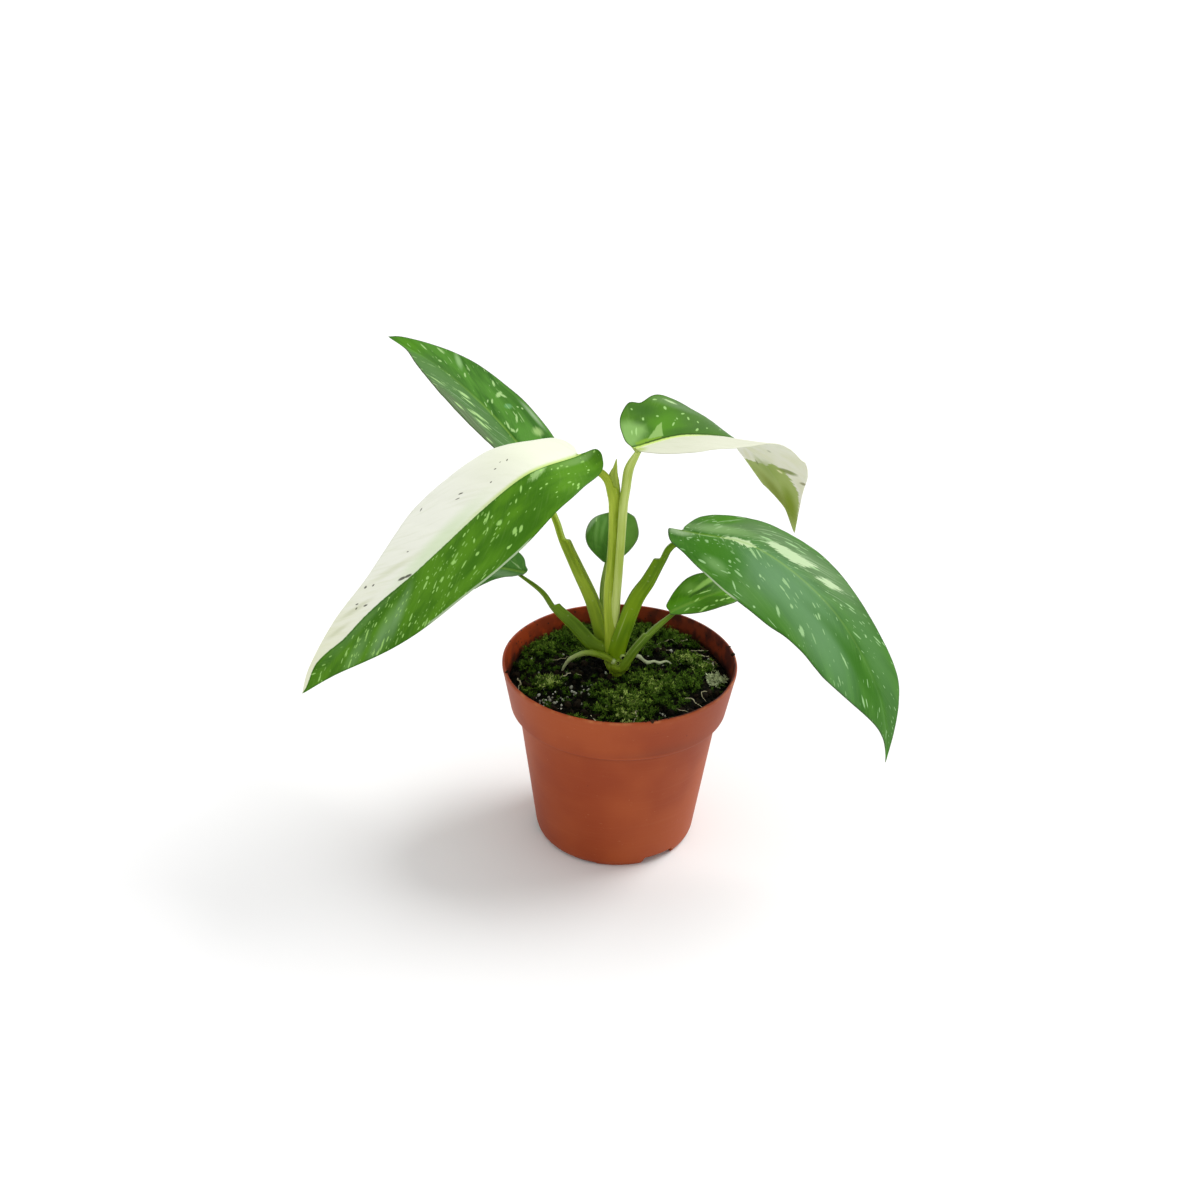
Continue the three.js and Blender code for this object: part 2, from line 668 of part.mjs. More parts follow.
// Soil: fills the pot to below its rim, with plain holes where the crown and the roots go in
function soilSolid(cutters) {
  const floor = pot.channelHeight + pot.wall + seatGap;
  const edge = innerRadius(soil.edgeLevel) - seatGap;
  const besideWall = (height) => [innerRadius(height) - soil.inset, height];
  const profile = [
    [0, pot.wall + seatGap],
    [pot.baseRadius - 2 * soil.inset, pot.wall + seatGap],
    [pot.baseRadius + pot.baseSlope - 2 * soil.inset, floor],
    [innerRadius(floor) - soil.inset - soil.corner, floor],
    besideWall(floor + soil.corner),
    besideWall(pot.shoulderHeight - pot.rounding),
    besideWall(pot.collarBottom + pot.innerStep),
  ];
  for (let ring = 0; ring <= soil.rings; ring += 1) {
    const share = 1 - ring / soil.rings;
    profile.push([edge * share, soil.edgeLevel + (soil.middleLevel - soil.edgeLevel) * (1 - share ** 2)]);
  }
  const geometry = turned(profile, soil.segments);
  const places = geometry.attributes.position;
  for (let i = 0; i < places.count; i += 1) {
    const [x, y, z] = [places.getX(i), places.getY(i), places.getZ(i)];
    const share = Math.min(1, Math.hypot(x, y) / edge);
    if (z >= soil.edgeLevel) places.setZ(i, z + mound(x, y) * (1 - share ** 4));
  }
  return mainBody(cutters.reduce((body, cutter) => body.subtract(cutter), solid(geometry)));
}

// Colour and roughness of each finish
const finishes = {
  terracotta: { color: "#a3522f", roughness: 0.45 },
  soil: { color: "#1d1f14", roughness: 0.95 },
  stem: { color: "#8aa035", roughness: 0.45 },
  root: { color: "#b4c08a", roughness: 0.6 },
  leaf: { color: "#4f7f20", roughness: 0.38 },
  cream: { color: "#eff1dc", roughness: 0.4 },
};

const plant = new THREE.Group();

function place(name, body, finish) {
  const mesh = new THREE.Mesh(toGeometry(body), new THREE.MeshStandardMaterial({ ...finish, metalness: 0 }));
  mesh.name = name;
  plant.add(mesh);
}

for (const leaf of Object.values(leaves)) leaf.scale = midribScale(leaf.midrib);

// The crown and the roots, grown by the clearance, are what the soil and the petioles make room for
const rooted = [crownSolid(seatGap), ...Object.values(roots).map((root) => plainTube(root, seatGap))];

place("pot", potSolid(), finishes.terracotta);
place("soil", soilSolid(rooted), finishes.soil);
place("crown", crownSolid(), finishes.stem);
for (const [name, root] of Object.entries(roots)) {
  place(`root_${name}`, mainBody(plainTube(root).subtract(crownSolid(seatGap))), finishes.root);
}

// Each petiole is fitted round the crown, the roots, the blades and the petioles before it
const seats = [...rooted, ...Object.values(leaves).map((leaf) => bladeSolid(leaf, seatGap))];
for (const [name, leaf] of Object.entries(leaves)) {
  const petiole = mainBody(seats.reduce((body, seat) => body.subtract(seat), petioleSolid(leaf)));
  seats.push(petioleSolid(leaf, seatGap));
  place(`petiole_${name}`, petiole, finishes.stem);
  place(`blade_${name}`, bladeSolid(leaf), name === "half_moon" ? finishes.cream : finishes.leaf);
}

export default plant;
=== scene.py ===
import math

import bmesh
import bpy
import numpy as np
from mathutils import Matrix, Vector, noise


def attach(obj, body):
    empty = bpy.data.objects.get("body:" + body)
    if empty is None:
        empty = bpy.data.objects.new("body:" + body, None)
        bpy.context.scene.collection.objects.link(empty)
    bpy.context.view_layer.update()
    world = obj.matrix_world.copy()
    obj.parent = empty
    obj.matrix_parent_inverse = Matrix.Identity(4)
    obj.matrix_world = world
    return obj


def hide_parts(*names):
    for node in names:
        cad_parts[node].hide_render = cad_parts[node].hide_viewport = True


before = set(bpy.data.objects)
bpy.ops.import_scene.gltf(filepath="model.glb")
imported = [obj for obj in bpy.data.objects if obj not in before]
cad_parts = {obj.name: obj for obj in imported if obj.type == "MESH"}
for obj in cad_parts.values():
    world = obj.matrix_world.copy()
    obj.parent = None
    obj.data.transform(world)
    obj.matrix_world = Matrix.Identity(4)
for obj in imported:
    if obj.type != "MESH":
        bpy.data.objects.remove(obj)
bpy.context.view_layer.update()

mm = 0.001

# Camera, floor and light

view = {
    "target": (-0.01095, 0, 0.13473),  # the point at the middle of the picture
    "distance": 0.9,
    "elevation": 28.67,
    "roll": 1.68,
    "lens": 53.86,
}

studio = {
    "floor": "#f4f4f4",
    "floorSize": 12,
    "floorRoughness": 0.9,
    "floorSpecular": 0.1,
    "sky": 0.78,
    "sun": 2.2,
    "sunFrom": (0.62, 0.3, 0.72),
    "sunSpread": 34,  # degrees, for soft shadows
}


def linear(code):  # "#rrggbb" as the colour that a shader takes
    shares = [int(code[i:i + 2], 16) / 255 for i in (1, 3, 5)]
    return tuple(s / 12.92 if s <= 0.04045 else ((s + 0.055) / 1.055) ** 2.4 for s in shares) + (1,)


def makeCamera():
    elevation, roll = math.radians(view["elevation"]), math.radians(view["roll"])
    back = Vector((0, -math.cos(elevation), math.sin(elevation)))
    level, upright = Vector((1, 0, 0)), Vector((0, math.sin(elevation), math.cos(elevation)))
    right = math.cos(roll) * level + math.sin(roll) * upright
    up = math.cos(roll) * upright - math.sin(roll) * level
    camera = bpy.data.objects.new("camera", bpy.data.cameras.new("camera"))
    camera.data.lens = view["lens"]
    camera.matrix_world = Matrix((right, up, back)).transposed().to_4x4()
    camera.location = Vector(view["target"]) + back * view["distance"]
    bpy.context.scene.collection.objects.link(camera)
    bpy.context.scene.camera = camera


def makeStudio():
    scene = bpy.context.scene
    scene.view_settings.view_transform = "Standard"
    world = bpy.data.worlds.new("studio")
    scene.world = world
    world.use_nodes = True
    world.node_tree.nodes["Background"].inputs["Strength"].default_value = studio["sky"]
    world.node_tree.nodes["Background"].inputs["Color"].default_value = (1, 1, 1, 1)
    sun = bpy.data.objects.new("sun", bpy.data.lights.new("sun", "SUN"))
    sun.data.energy = studio["sun"]
    sun.data.angle = math.radians(studio["sunSpread"])
    sun.rotation_mode = "QUATERNION"
    sun.rotation_quaternion = Vector(studio["sunFrom"]).to_track_quat("Z", "Y")
    scene.collection.objects.link(sun)
    bpy.ops.mesh.primitive_plane_add(size=studio["floorSize"])
    floor = bpy.context.object
    floor.name = "floor"
    paint = bpy.data.materials.new("floor")
    paint.use_nodes = True
    shader = paint.node_tree.nodes["Principled BSDF"]
    shader.inputs["Base Color"].default_value = linear(studio["floor"])
    shader.inputs["Roughness"].default_value = studio["floorRoughness"]
    shader.inputs["Specular IOR Level"].default_value = studio["floorSpecular"]
    floor.data.materials.append(paint)


# Shader sums

class Wire:
    # A socket of a material. Sums on it add Math nodes, and node() adds any other.
    def __init__(self, tree, socket=None):
        self.tree = tree
        self.socket = socket

    def node(self, kind, settings=None, sockets=None, out=0):
        made = self.tree.nodes.new(kind)
        for name, value in (settings or {}).items():
            setattr(made, name, value)
        for name, value in (sockets or {}).items():
            if isinstance(value, Wire):
                self.tree.links.new(value.socket, made.inputs[name])
            else:
                made.inputs[name].default_value = value
        return Wire(self.tree, made.outputs[out])

    def beside(self, out):  # another output of the same node
        return Wire(self.tree, self.socket.node.outputs[out])

    def maths(self, operation, first, second=0.0):
        return self.node("ShaderNodeMath", {"operation": operation}, {0: first, 1: second})

    def __add__(self, other):
        return self.maths("ADD", self, other)

    def __sub__(self, other):
        return self.maths("SUBTRACT", self, other)

    def __rsub__(self, other):
        return self.maths("SUBTRACT", other, self)

    def __mul__(self, other):
        return self.maths("MULTIPLY", self, other)

    __radd__ = __add__
    __rmul__ = __mul__


def smooth(value, low, high):  # 0 at low and 1 at high
    sockets = {"Value": value, "From Min": low, "From Max": high}
    return value.node("ShaderNodeMapRange", {"interpolation_type": "SMOOTHSTEP"}, sockets)


def largest(first, second):
    return first.maths("MAXIMUM", first, second)


def smallest(first, second):
    return first.maths("MINIMUM", first, second)


def withoutSign(value):
    return value.maths("ABSOLUTE", value)


def blend(factor, first, second):  # colours
    first, second = (linear(c) if isinstance(c, str) else c for c in (first, second))
    return factor.node("ShaderNodeMix", {"data_type": "RGBA"}, {0: factor, 6: first, 7: second}, out=2)


def vectorSum(operation, first, second, out=0):
    return first.node("ShaderNodeVectorMath", {"operation": operation}, {0: first, 1: second}, out)


def stretched(vector, by):
    return vectorSum("MULTIPLY", vector, by)


def shifted(vector, by):
    return vectorSum("ADD", vector, by)


def part(vector, axis):
    return vector.node("ShaderNodeSeparateXYZ", sockets={0: vector}, out=axis)


def cloud(vector, scale=1.0, detail=2.0, roughness=0.5):
    sockets = {"Vector": vector, "Scale": scale, "Detail": detail, "Roughness": roughness}
    return vector.node("ShaderNodeTexNoise", sockets=sockets)


def dotted(found, reach, rarity, channel=0):  # small dots on some of the cells
    return smooth(found, *reach) * smooth(part(found.beside(1), channel), *rarity)


def cells(vector, scale=1.0, flat=False):
    # distance to the nearest of scattered points, and with beside(1) that point's random colour
    settings = {"voronoi_dimensions": "2D"} if flat else None
    return vector.node("ShaderNodeTexVoronoi", settings, {"Vector": vector, "Scale": scale})


def newPaint(name):  # a material, and the Wire that its sums start from
    material = bpy.data.materials.new(name)
    material.use_nodes = True
    return material, Wire(material.node_tree)


def attribute(start, name, out=1):  # out 1 is a vector and 2 a number
    return start.node("ShaderNodeAttribute", {"attribute_name": name}, out=out)


def millimetres(start):  # place in the frame
    return stretched(start.node("ShaderNodeTexCoord", out=3), (1000, 1000, 1000))


def finishPaint(start, colour, roughness, specular, height=None, bump=0.2, depth=0.2):
    # bump is the relief's strength and depth its height in millimetres
    shader = start.tree.nodes["Principled BSDF"]
    shader.inputs["Specular IOR Level"].default_value = specular
    start.tree.links.new(colour.socket, shader.inputs["Base Color"])
    if isinstance(roughness, Wire):
        start.tree.links.new(roughness.socket, shader.inputs["Roughness"])
    else:
        shader.inputs["Roughness"].default_value = roughness
    if height is not None:
        sockets = {"Strength": bump, "Distance": depth * mm, "Height": height}
        normal = start.node("ShaderNodeBump", sockets=sockets)
        start.tree.links.new(normal.socket, shader.inputs["Normal"])


# Meshes

def makePiece(name, points, faces, paint, replaces=(), values=None, smoothShade=True):
    mesh = bpy.data.meshes.new(name)
    mesh.from_pydata([tuple(p) for p in np.asarray(points, float)], [], [tuple(map(int, f)) for f in faces])
    for key, data in (values or {}).items():
        data = np.asarray(data, np.float32)
        kind, field = ("FLOAT_VECTOR", "vector") if data.ndim == 2 else ("FLOAT", "value")
        mesh.attributes.new(key, kind, "POINT").data.foreach_set(field, data.ravel())
    if smoothShade:
        mesh.shade_smooth()
    mesh.materials.append(paint)
    piece = bpy.data.objects.new(name, mesh)
    bpy.context.scene.collection.objects.link(piece)
    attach(piece, "root")
    if replaces:
        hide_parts(*replaces)
    return piece


def along(values, t):  # smooth curve through evenly spaced values, which are numbers or points
    values = np.asarray(values, float)
    flat = values.ndim == 1
    if flat:
        values = values[:, None]
    last = len(values) - 1
    place = np.clip(t, 0, 1) * last
    step = np.minimum(np.floor(place).astype(int), last - 1)
    w = (place - step)[..., None]
    ends = np.vstack([2 * values[0] - values[1], values, 2 * values[-1] - values[-2]])
    a, b, c, d = (ends[step + k] for k in range(4))
    curve = 0.5 * (2 * b + (c - a) * w + (2 * a - 5 * b + 4 * c - d) * w**2 + (3 * b - a - 3 * c + d) * w**3)
    return curve[..., 0] if flat else curve


def unit(vectors):
    return vectors / np.maximum(np.linalg.norm(vectors, axis=-1, keepdims=True), 1e-12)


def squareTo(directions, axis):  # the parts of the directions that stand square to an axis
    return unit(directions - (directions * axis).sum(-1, keepdims=True) * axis)


def onPath(path, t, step=1e-3):  # point and direction
    return along(path, t), unit(along(path, np.minimum(1, t + step)) - along(path, np.maximum(0, t - step)))


def smoothStep(value, low, high):
    share = np.clip((value - low) / (high - low), 0, 1)
    return share * share * (3 - 2 * share)


def travelledTo(points):  # the length travelled to each point
    chords = np.linalg.norm(np.diff(points, axis=0), axis=1)
    return np.concatenate([[0], np.cumsum(chords)])


def pointNormals(points, faces):  # for faces that are triangles or quads
    total = np.zeros_like(points)
    for corners in (3, 4):
        some = np.array([f for f in faces if len(f) == corners], int).reshape(-1, corners)
        a, b, c, last = (points[some[:, k]] for k in (0, 1, 2, -1))
        normal = np.cross(b - a, c - a) if corners == 3 else np.cross(c - a, last - b)
        for k in range(corners):
            np.add.at(total, some[:, k], normal)
    return unit(total)


def weld(points, faces, gap=0.002 * mm):
    # joins points that are closer than the gap. Gives the kept points' indices and the faces
    keys = np.round(points / gap).astype(np.int64)
    _, first, back = np.unique(keys, axis=0, return_index=True, return_inverse=True)
    back = back.ravel()
    welded = []
    for face in faces:
        corners = list(dict.fromkeys(int(back[i]) for i in face))
        if len(corners) > 2:
            welded.append(corners)
    return first, welded


def joined(meshes):  # one mesh of several, each given as its points and faces
    points, faces, total = [], [], 0
    for some, corners in meshes:
        points.append(some)
        faces += [tuple(i + total for i in face) for face in corners]
        total += len(some)
    return np.vstack(points), faces


# Leaf blades

blade = {
    "thickness": 0.5,
    "ribDepth": 1.5,  # of the midrib below the blade
    "ribWidth": 1.3,
    "groove": 0.45,  # of the midrib's channel above
    "grooveWidth": 0.9,
    "grooveTaper": 0.75,
    "veinRelief": 0.1,
    "veinSharpness": 5,
    "veinStart": (1, 5),  # distance from the midrib over which the veins rise
    "bulge": 0.45,  # of the rounded margin, as a share of the thickness
    "fanShare": 0.16,  # of the margin whose side veins fan out from the base
    "veinSpread": 1.1,
    "veinBend": 0.25,
    "lobe": 8,  # the reach behind the base where a half's rear is its full lift
    "hookShare": 0.08,  # the part of the blade that hooks sideways at the tip
    "lean": (0.2, 1.5),  # how far the painted veins run ahead per step across, at the base and beyond
    "leanShare": 0.45,  # the part of the blade over which the lean grows
    "veinPitch": (0.55, 1.8),  # scale of the painted grain across and along the veins
    "rowSpacing": 1.15,
    "columnSpacing": 1.25,
}
gentle = {"rear": 0, "fold": [8, 8], "curl": [0, 0], "wave": [0, 1, 0]}

# Each leaf's form, in millimetres as in the frame: the midrib's points, the way that the upper face looks,
# and the two halves as seen from above with the tip ahead. A margin's points lie along and across from the
# base, between base and tip
leafForms = {
    "half_moon": {
        "midrib": [(-24, 0, 214), (-51, -18, 209), (-85, -37, 182), (-118, -50, 151), (-152, -60, 112)],
        "facing": [(0, -0.3, 1), (-0.2, -0.4, 0.9), (-0.4, -0.5, 0.8), (-0.4, -0.6, 0.7)],
        "left": {
            "margin": [(-6.5, 3), (-8, 6.5), (-7, 11), (-3, 16.5), (9, 21.5), (21.5, 27), (38, 30), (62, 32),
                       (85, 31.5), (128, 23), (162, 7)],
            "rear": 3.5, "fold": [0, 0], "curl": [0, -5.5, 0], "wave": [1.5, 2.5, 0.1],
        },
        "right": {
            "margin": [(-1, 2.5), (-1.5, 7), (1, 20), (6.5, 27), (15, 31.5), (27, 34), (46, 34.5), (72, 35),
                       (86, 32), (97, 27), (120, 18), (145, 13.5), (169, 6.5)],
            "rear": 0, "fold": [10, 10], "curl": [-68, -23, 0], "wave": [3.1, 0.8, 0.27],
        },
        "rows": 130, "columns": 26, "veins": 13,
    },
    "upper_left": {
        "midrib": [(-48, 45, 191), (-73, 74, 206), (-100, 100, 218), (-128, 118, 227)],
        "facing": [(0.4, -0.3, 0.9), (0.4, -0.3, 0.9), (0.2, -0.3, 0.9)],
        "left": {
            "margin": [(-4, 1.5), (-7, 5), (-5.5, 11), (2, 17), (15.5, 20.5), (32, 22), (50, 22), (62, 20),
                       (86, 11), (102, 2)],
            "rear": 1.5, "fold": [10, 10], "curl": [0, 0], "wave": [0.6, 2, 0.2],
        },
        "right": {
            "margin": [(-4, 1.5), (-8, 5), (-7, 11.5), (0, 18), (12.5, 21), (29, 21), (47, 21.5), (60, 20),
                       (84, 13.5), (108, 5)],
            "rear": 1.5, "fold": [10, 10], "curl": [0, 0], "wave": [0.8, 2.5, 0.6],
        },
        "rows": 110, "columns": 22, "veins": 11, "lean": 3,
    },
    "upper_right": {
        "midrib": [(4, 0, 218), (29, 26, 214), (57, 52, 201), (81, 71, 171), (93, 80, 136)],
        "facing": [(-0.3, 0, 1), (0, 0.3, 1), (0.15, 0.75, 0.55), (0.15, 1, 0.1)],
        "left": {
            "margin": [(-3, 4.5), (-2, 10), (0, 14.5), (4.5, 19), (13.5, 23.5), (19.5, 22), (23, 22.5),
                       (33.5, 25.5), (47, 23.5), (61, 19), (74, 18), (92, 18), (112, 16), (125, 13),
                       (129, 10), (138.5, 3.5), (144, 1.5)],
            "rear": 0, "fold": [50, 47, 27, 25, 20], "curl": [0, 0], "wave": [1.4, 2, 0.1],
        },
        "right": {
            "margin": [(-1, 4), (1, 8.5), (7, 16), (15.5, 21.5), (21, 24), (28, 24.5), (42, 25), (75, 23),
                       (104, 19.5), (110, 20), (120, 16.5), (133, 9)],
            "rear": 0, "fold": [-8, -6, 0, 0], "curl": [0, 0], "wave": [0.7, 2, 0],
        },
        "rows": 120, "columns": 24, "veins": 12,
    },
    "right": {
        "midrib": [(29, 0, 175), (65, -15, 174), (101, -32, 151), (125, -44, 114), (134, -50, 78)],
        "facing": [(0, -0.4, 1), (0.4, -0.5, 0.8), (0.6, -0.6, 0.4), (0.8, -0.6, 0.1)],
        "hook": -4,
        "left": {
            "margin": [(-1, 5), (1, 15.5), (5, 20), (11, 22), (25, 23), (45, 25.5), (62.5, 26), (86, 21),
                       (97, 19.5), (108, 19), (131.5, 19), (146, 14), (164.5, 2.5)],
            "rear": 0, "fold": [-20, -10, 0], "curl": [0, 0], "wave": [0.9, 2, 0.2],
        },
        "right": {
            "margin": [(-6, 1), (-6.5, 3.5), (-2, 11.5), (6.5, 17.5), (17.5, 25.5), (32.5, 32.5), (46, 34.5),
                       (65.5, 33), (78, 30.5), (90, 30), (102, 30), (112, 27.5), (134.5, 16.5), (152, 5.5),
                       (164, 1)],
            "rear": 1, "fold": [15, -5, 0, 0], "curl": [0, 0], "wave": [1.2, 3, 0.4],
        },
        "rows": 130, "columns": 26, "veins": 13, "lean": 2.2,
    },
    "back_small": {
        "midrib": [(-8, 30, 141), (-6, 40, 152), (-1, 52, 160)],
        "facing": [(0, -1, 0.3), (0, -0.8, 0.6), (0, -0.3, 1)],
        "left": dict(gentle, margin=[(0, 2.5), (6.5, 10.5), (13, 13), (20, 11), (27, 4.5)]),
        "right": dict(gentle, margin=[(0.5, 3), (2, 6), (7.5, 11), (14, 13.5), (20.5, 13), (27, 9),
                                      (29, 5.5)]),
        "rows": 54, "columns": 16, "veins": 8,
    },
    "left_small": {
        "midrib": [(-50, 16, 141), (-66, 20, 141), (-82, 24, 135.5), (-97, 28, 126)],
        "facing": [(-0.1, -0.5, 1), (-0.1, -0.5, 1)],
        "left": dict(gentle, margin=[(0.5, 1.5), (4.5, 4), (9.5, 6), (20, 12), (26, 14.5), (35, 14),
                                     (44, 8.5)]),
        "right": dict(gentle, margin=[(-1.5, 1.5), (0, 3.5), (2, 7.5), (6, 10.5), (12, 12.5), (20, 13),
                                      (28, 11.5), (38, 7.5)]),
        "rows": 60, "columns": 16, "veins": 9,
    },
    "right_small": {
        "midrib": [(25, 8, 125), (36, 13, 128), (50, 21, 130), (66, 32, 128)],
        "facing": [(0, -0.5, 1), (0, -0.5, 1)],
        "left": dict(gentle, margin=[(-0.5, 3), (1, 5), (8.5, 10), (18.5, 13.5), (30, 12), (44, 4)]),
        "right": dict(gentle, margin=[(-0.5, 1.5), (3.5, 4), (12.5, 8), (23, 9.5), (35, 8.5)]),
        "rows": 60, "columns": 16, "veins": 9,
    },
}


def midribScale(form):  # curve parameter, and the length travelled to it
    grid = np.linspace(0, 1, 201)
    return grid, travelledTo(along(form["midrib"], grid))


def bladeFrame(form, distance):  # midrib point and directions at a distance from the base
    grid, travelled = midribScale(form)
    within = np.clip(distance, 0, travelled[-1])
    centre, tangent = onPath(form["midrib"], np.interp(within, travelled, grid))
    up = squareTo(along(form["facing"], within / travelled[-1]), tangent)
    return centre + tangent * (distance - within)[..., None], tangent, np.cross(up, tangent), up


def marginPoints(half, length, share):  # along and across, at shares of the margin from base to tip
    points = [(0, 0), *half["margin"], (length, 0)]
    travelled = travelledTo(points)
    place = np.interp(share * travelled[-1], travelled, np.arange(len(points))) / (len(points) - 1)
    return along(points, place)


def halfWidth(half):
    return max(across for _, across in half["margin"])


def halfOf(form, side):
    return form["left"] if side > 0 else form["right"]


def bladePoints(form, side, v, q):
    # v runs round the half's margin, q from midrib to margin along the side veins. Gives the upper face's
    # points, and the distances along and across from the base and the midrib
    half = halfOf(form, side)
    length = midribScale(form)[1][-1]
    margin = marginPoints(half, length, v)
    fanned = np.maximum(0, (v - blade["fanShare"]) / (1 - blade["fanShare"]))
    veinStart = length * fanned ** blade["veinSpread"]
    bent = (1 - blade["veinBend"]) * q + blade["veinBend"] * q * q
    x = veinStart + (margin[..., 0] - veinStart) * bent
    y = margin[..., 1] * q
    origin, _, left, up = bladeFrame(form, x)
    place = np.clip(x / length, 0, 1)
    out = y / halfWidth(half)
    bend = np.radians(along(half["curl"], place)) * out * 0.5
    angle = np.radians(along(half["fold"], place)) + bend
    chord = y * np.sinc(bend / np.pi)
    height, count, phase = half["wave"]
    swell = height * out * out * np.sqrt(np.maximum(0, np.sin(np.pi * place)))
    rise = swell * np.sin(2 * np.pi * (count * place + phase))
    rise += half["rear"] * (np.maximum(0, -x) / blade["lobe"]) ** 2
    hook = form.get("hook", 0) * (np.maximum(0, place - 1 + blade["hookShare"]) / blade["hookShare"]) ** 2
    points = origin + (side * chord * np.cos(angle) + hook)[..., None] * left
    return points + (chord * np.sin(angle) + rise)[..., None] * up, x, y * side


def bladeSheet(form):
    # the upper face: points, each with its place along and across, its vein's place and its distance from
    # the margin, and the faces
    rows, columns = form["rows"], form["columns"]
    v = (np.arange(rows + 1) / rows) ** blade["rowSpacing"]
    q = (np.arange(columns + 1) / columns) ** blade["columnSpacing"]
    length = midribScale(form)[1][-1]
    sheets = []
    for side, shares in ((1, q[::-1]), (-1, q[1:])):
        vs, qs = np.meshgrid(v, shares, indexing="ij")
        points, x, y = bladePoints(form, side, vs, qs)
        inset = marginPoints(halfOf(form, side), length, vs)[..., 1] * (1 - qs)
        sheets.append(np.dstack([points, x, y, vs * length, inset]))
    grid = np.concatenate(sheets, axis=1)
    wide = grid.shape[1]
    data = grid.reshape(-1, grid.shape[2])
    quads = []
    for j in range(rows):
        for k in range(wide - 1):
            a = j * wide + k
            quads.append((a, a + 1, a + wide + 1, a + wide))
    keep, faces = weld(data[:, :3], quads)
    return data[keep], faces


def openEdges(faces):  # the edges with a face on one side only
    edges = {}
    for face in faces:
        for a, b in zip(face, face[1:] + face[:1]):
            if (b, a) in edges:
                del edges[(b, a)]
            else:
                edges[(a, b)] = True
    return list(edges)


def makeBlade(name, form, paint):
    data, faces = bladeSheet(form)
    upper = data[:, :3]
    x, y, grainX, inset = data[:, 3:].T
    length = midribScale(form)[1][-1]
    normals = pointNormals(upper, faces)
    if (normals * bladeFrame(form, np.array([length / 2]))[3]).sum() < 0:
        normals = -normals
        faces = [f[::-1] for f in faces]
    place = np.clip(x / length, 0, 1)
    vein = ((1 + np.cos(2 * np.pi * form["veins"] * grainX / length)) / 2) ** blade["veinSharpness"]
    vein *= smoothStep(np.abs(y), *blade["veinStart"]) * np.sin(np.pi * np.clip(grainX / length, 0, 1)) ** 0.5
    groove = blade["groove"] * (1 - blade["grooveTaper"] * place)
    channel = groove * np.exp(-((y / blade["grooveWidth"]) ** 2))
    rib = blade["ribDepth"] * (1 - place) * np.exp(-((y / blade["ribWidth"]) ** 2))
    top = upper - normals * (channel + blade["veinRelief"] * vein)[:, None]
    low = upper - normals * (blade["thickness"] + blade["veinRelief"] * vein)[:, None]
    low -= bladeFrame(form, np.maximum(0, x))[3] * rib[:, None]
    edges = openEdges(faces)
    count = len(upper)
    rim = sorted({i for edge in edges for i in edge})
    middle = {i: 2 * count + n for n, i in enumerate(rim)}
    outward = np.zeros_like(upper)
    for a, b in edges:
        side = np.cross(upper[b] - upper[a], normals[a])
        outward[a] += side
        outward[b] += side
    outward = unit(outward)[rim] * blade["thickness"] * blade["bulge"]
    edgePoints = upper[rim] - normals[rim] * blade["thickness"] / 2 + outward
    skin = faces + [[count + i for i in f[::-1]] for f in faces]
    for a, b in edges:
        skin.append((b, a, middle[a], middle[b]))
        skin.append((middle[b], middle[a], count + a, count + b))
    points = np.vstack([top, low, edgePoints]) * mm
    flat = np.column_stack([x, y, np.zeros(count)])
    leanStart, leanEnd = blade["lean"]
    lean = np.interp(place, (0, blade["leanShare"]), (leanStart, form.get("lean", leanEnd)))
    across, lengthwise = blade["veinPitch"]
    grain = np.column_stack([(x - lean * np.abs(y)) * across, y * lengthwise, inset])
    values = {
        "leafPlace": np.vstack([flat, flat + [0, 0, 1], flat[rim] + [0, 0, 0.5]]),
        "leafGrain": np.vstack([grain, grain, grain[rim]]),
    }
    makePiece("blade-" + name, points, skin, paint, ["blade_" + name], values)


# Leaf paint. Places on a leaf are in millimetres along and across from the base. A mark is its place, half
# its length and width, and its turn in degrees; a patch is an oval or the area between its corners

leafTints = {
    "line": "#86ac5a",
    "rib": "#8db34a",
    "creamRib": "#bfd96c",
    "creamTones": ("#f4f6e8", "#e4e8d2", "#e9ecc2"),  # plain, shaded and by the tip
    "fleck": "#2b2718",
    "rim": "#b4c8a2",
    "below": ("#5d8440", "#7b9c58", "#c4d2a0"),  # of the underside: deep, light and its speckles
    "underTones": ("#e6e8d6", "#dee1c2"),  # where the underside is cream all over
    "creamBelow": "#dfe2c6",
    "specular": 0.12,
    "roughness": 0.4,
}
speckle = {  # spacing across and along the side veins, and the spread of the lengths
    "specks": (1.45, 3.2, 0.3),
    "dashes": (1.8, 7, 0.26),
}


def oval(place, size, turn, colour, strength, soft=0.8, torn=0.5, streaks=False):
    # soft is the share of the rim that fades, torn its raggedness. With streaks only hairlines of it show
    return {"at": place, "size": size, "turn": turn, "colour": colour, "strength": strength, "soft": soft,
            "torn": torn, "streaks": streaks}


def area(corners, colour, strength, soft=0.4, torn=0.5):
    return {"corners": corners, "colour": colour, "strength": strength, "soft": soft, "torn": torn,
            "streaks": False}


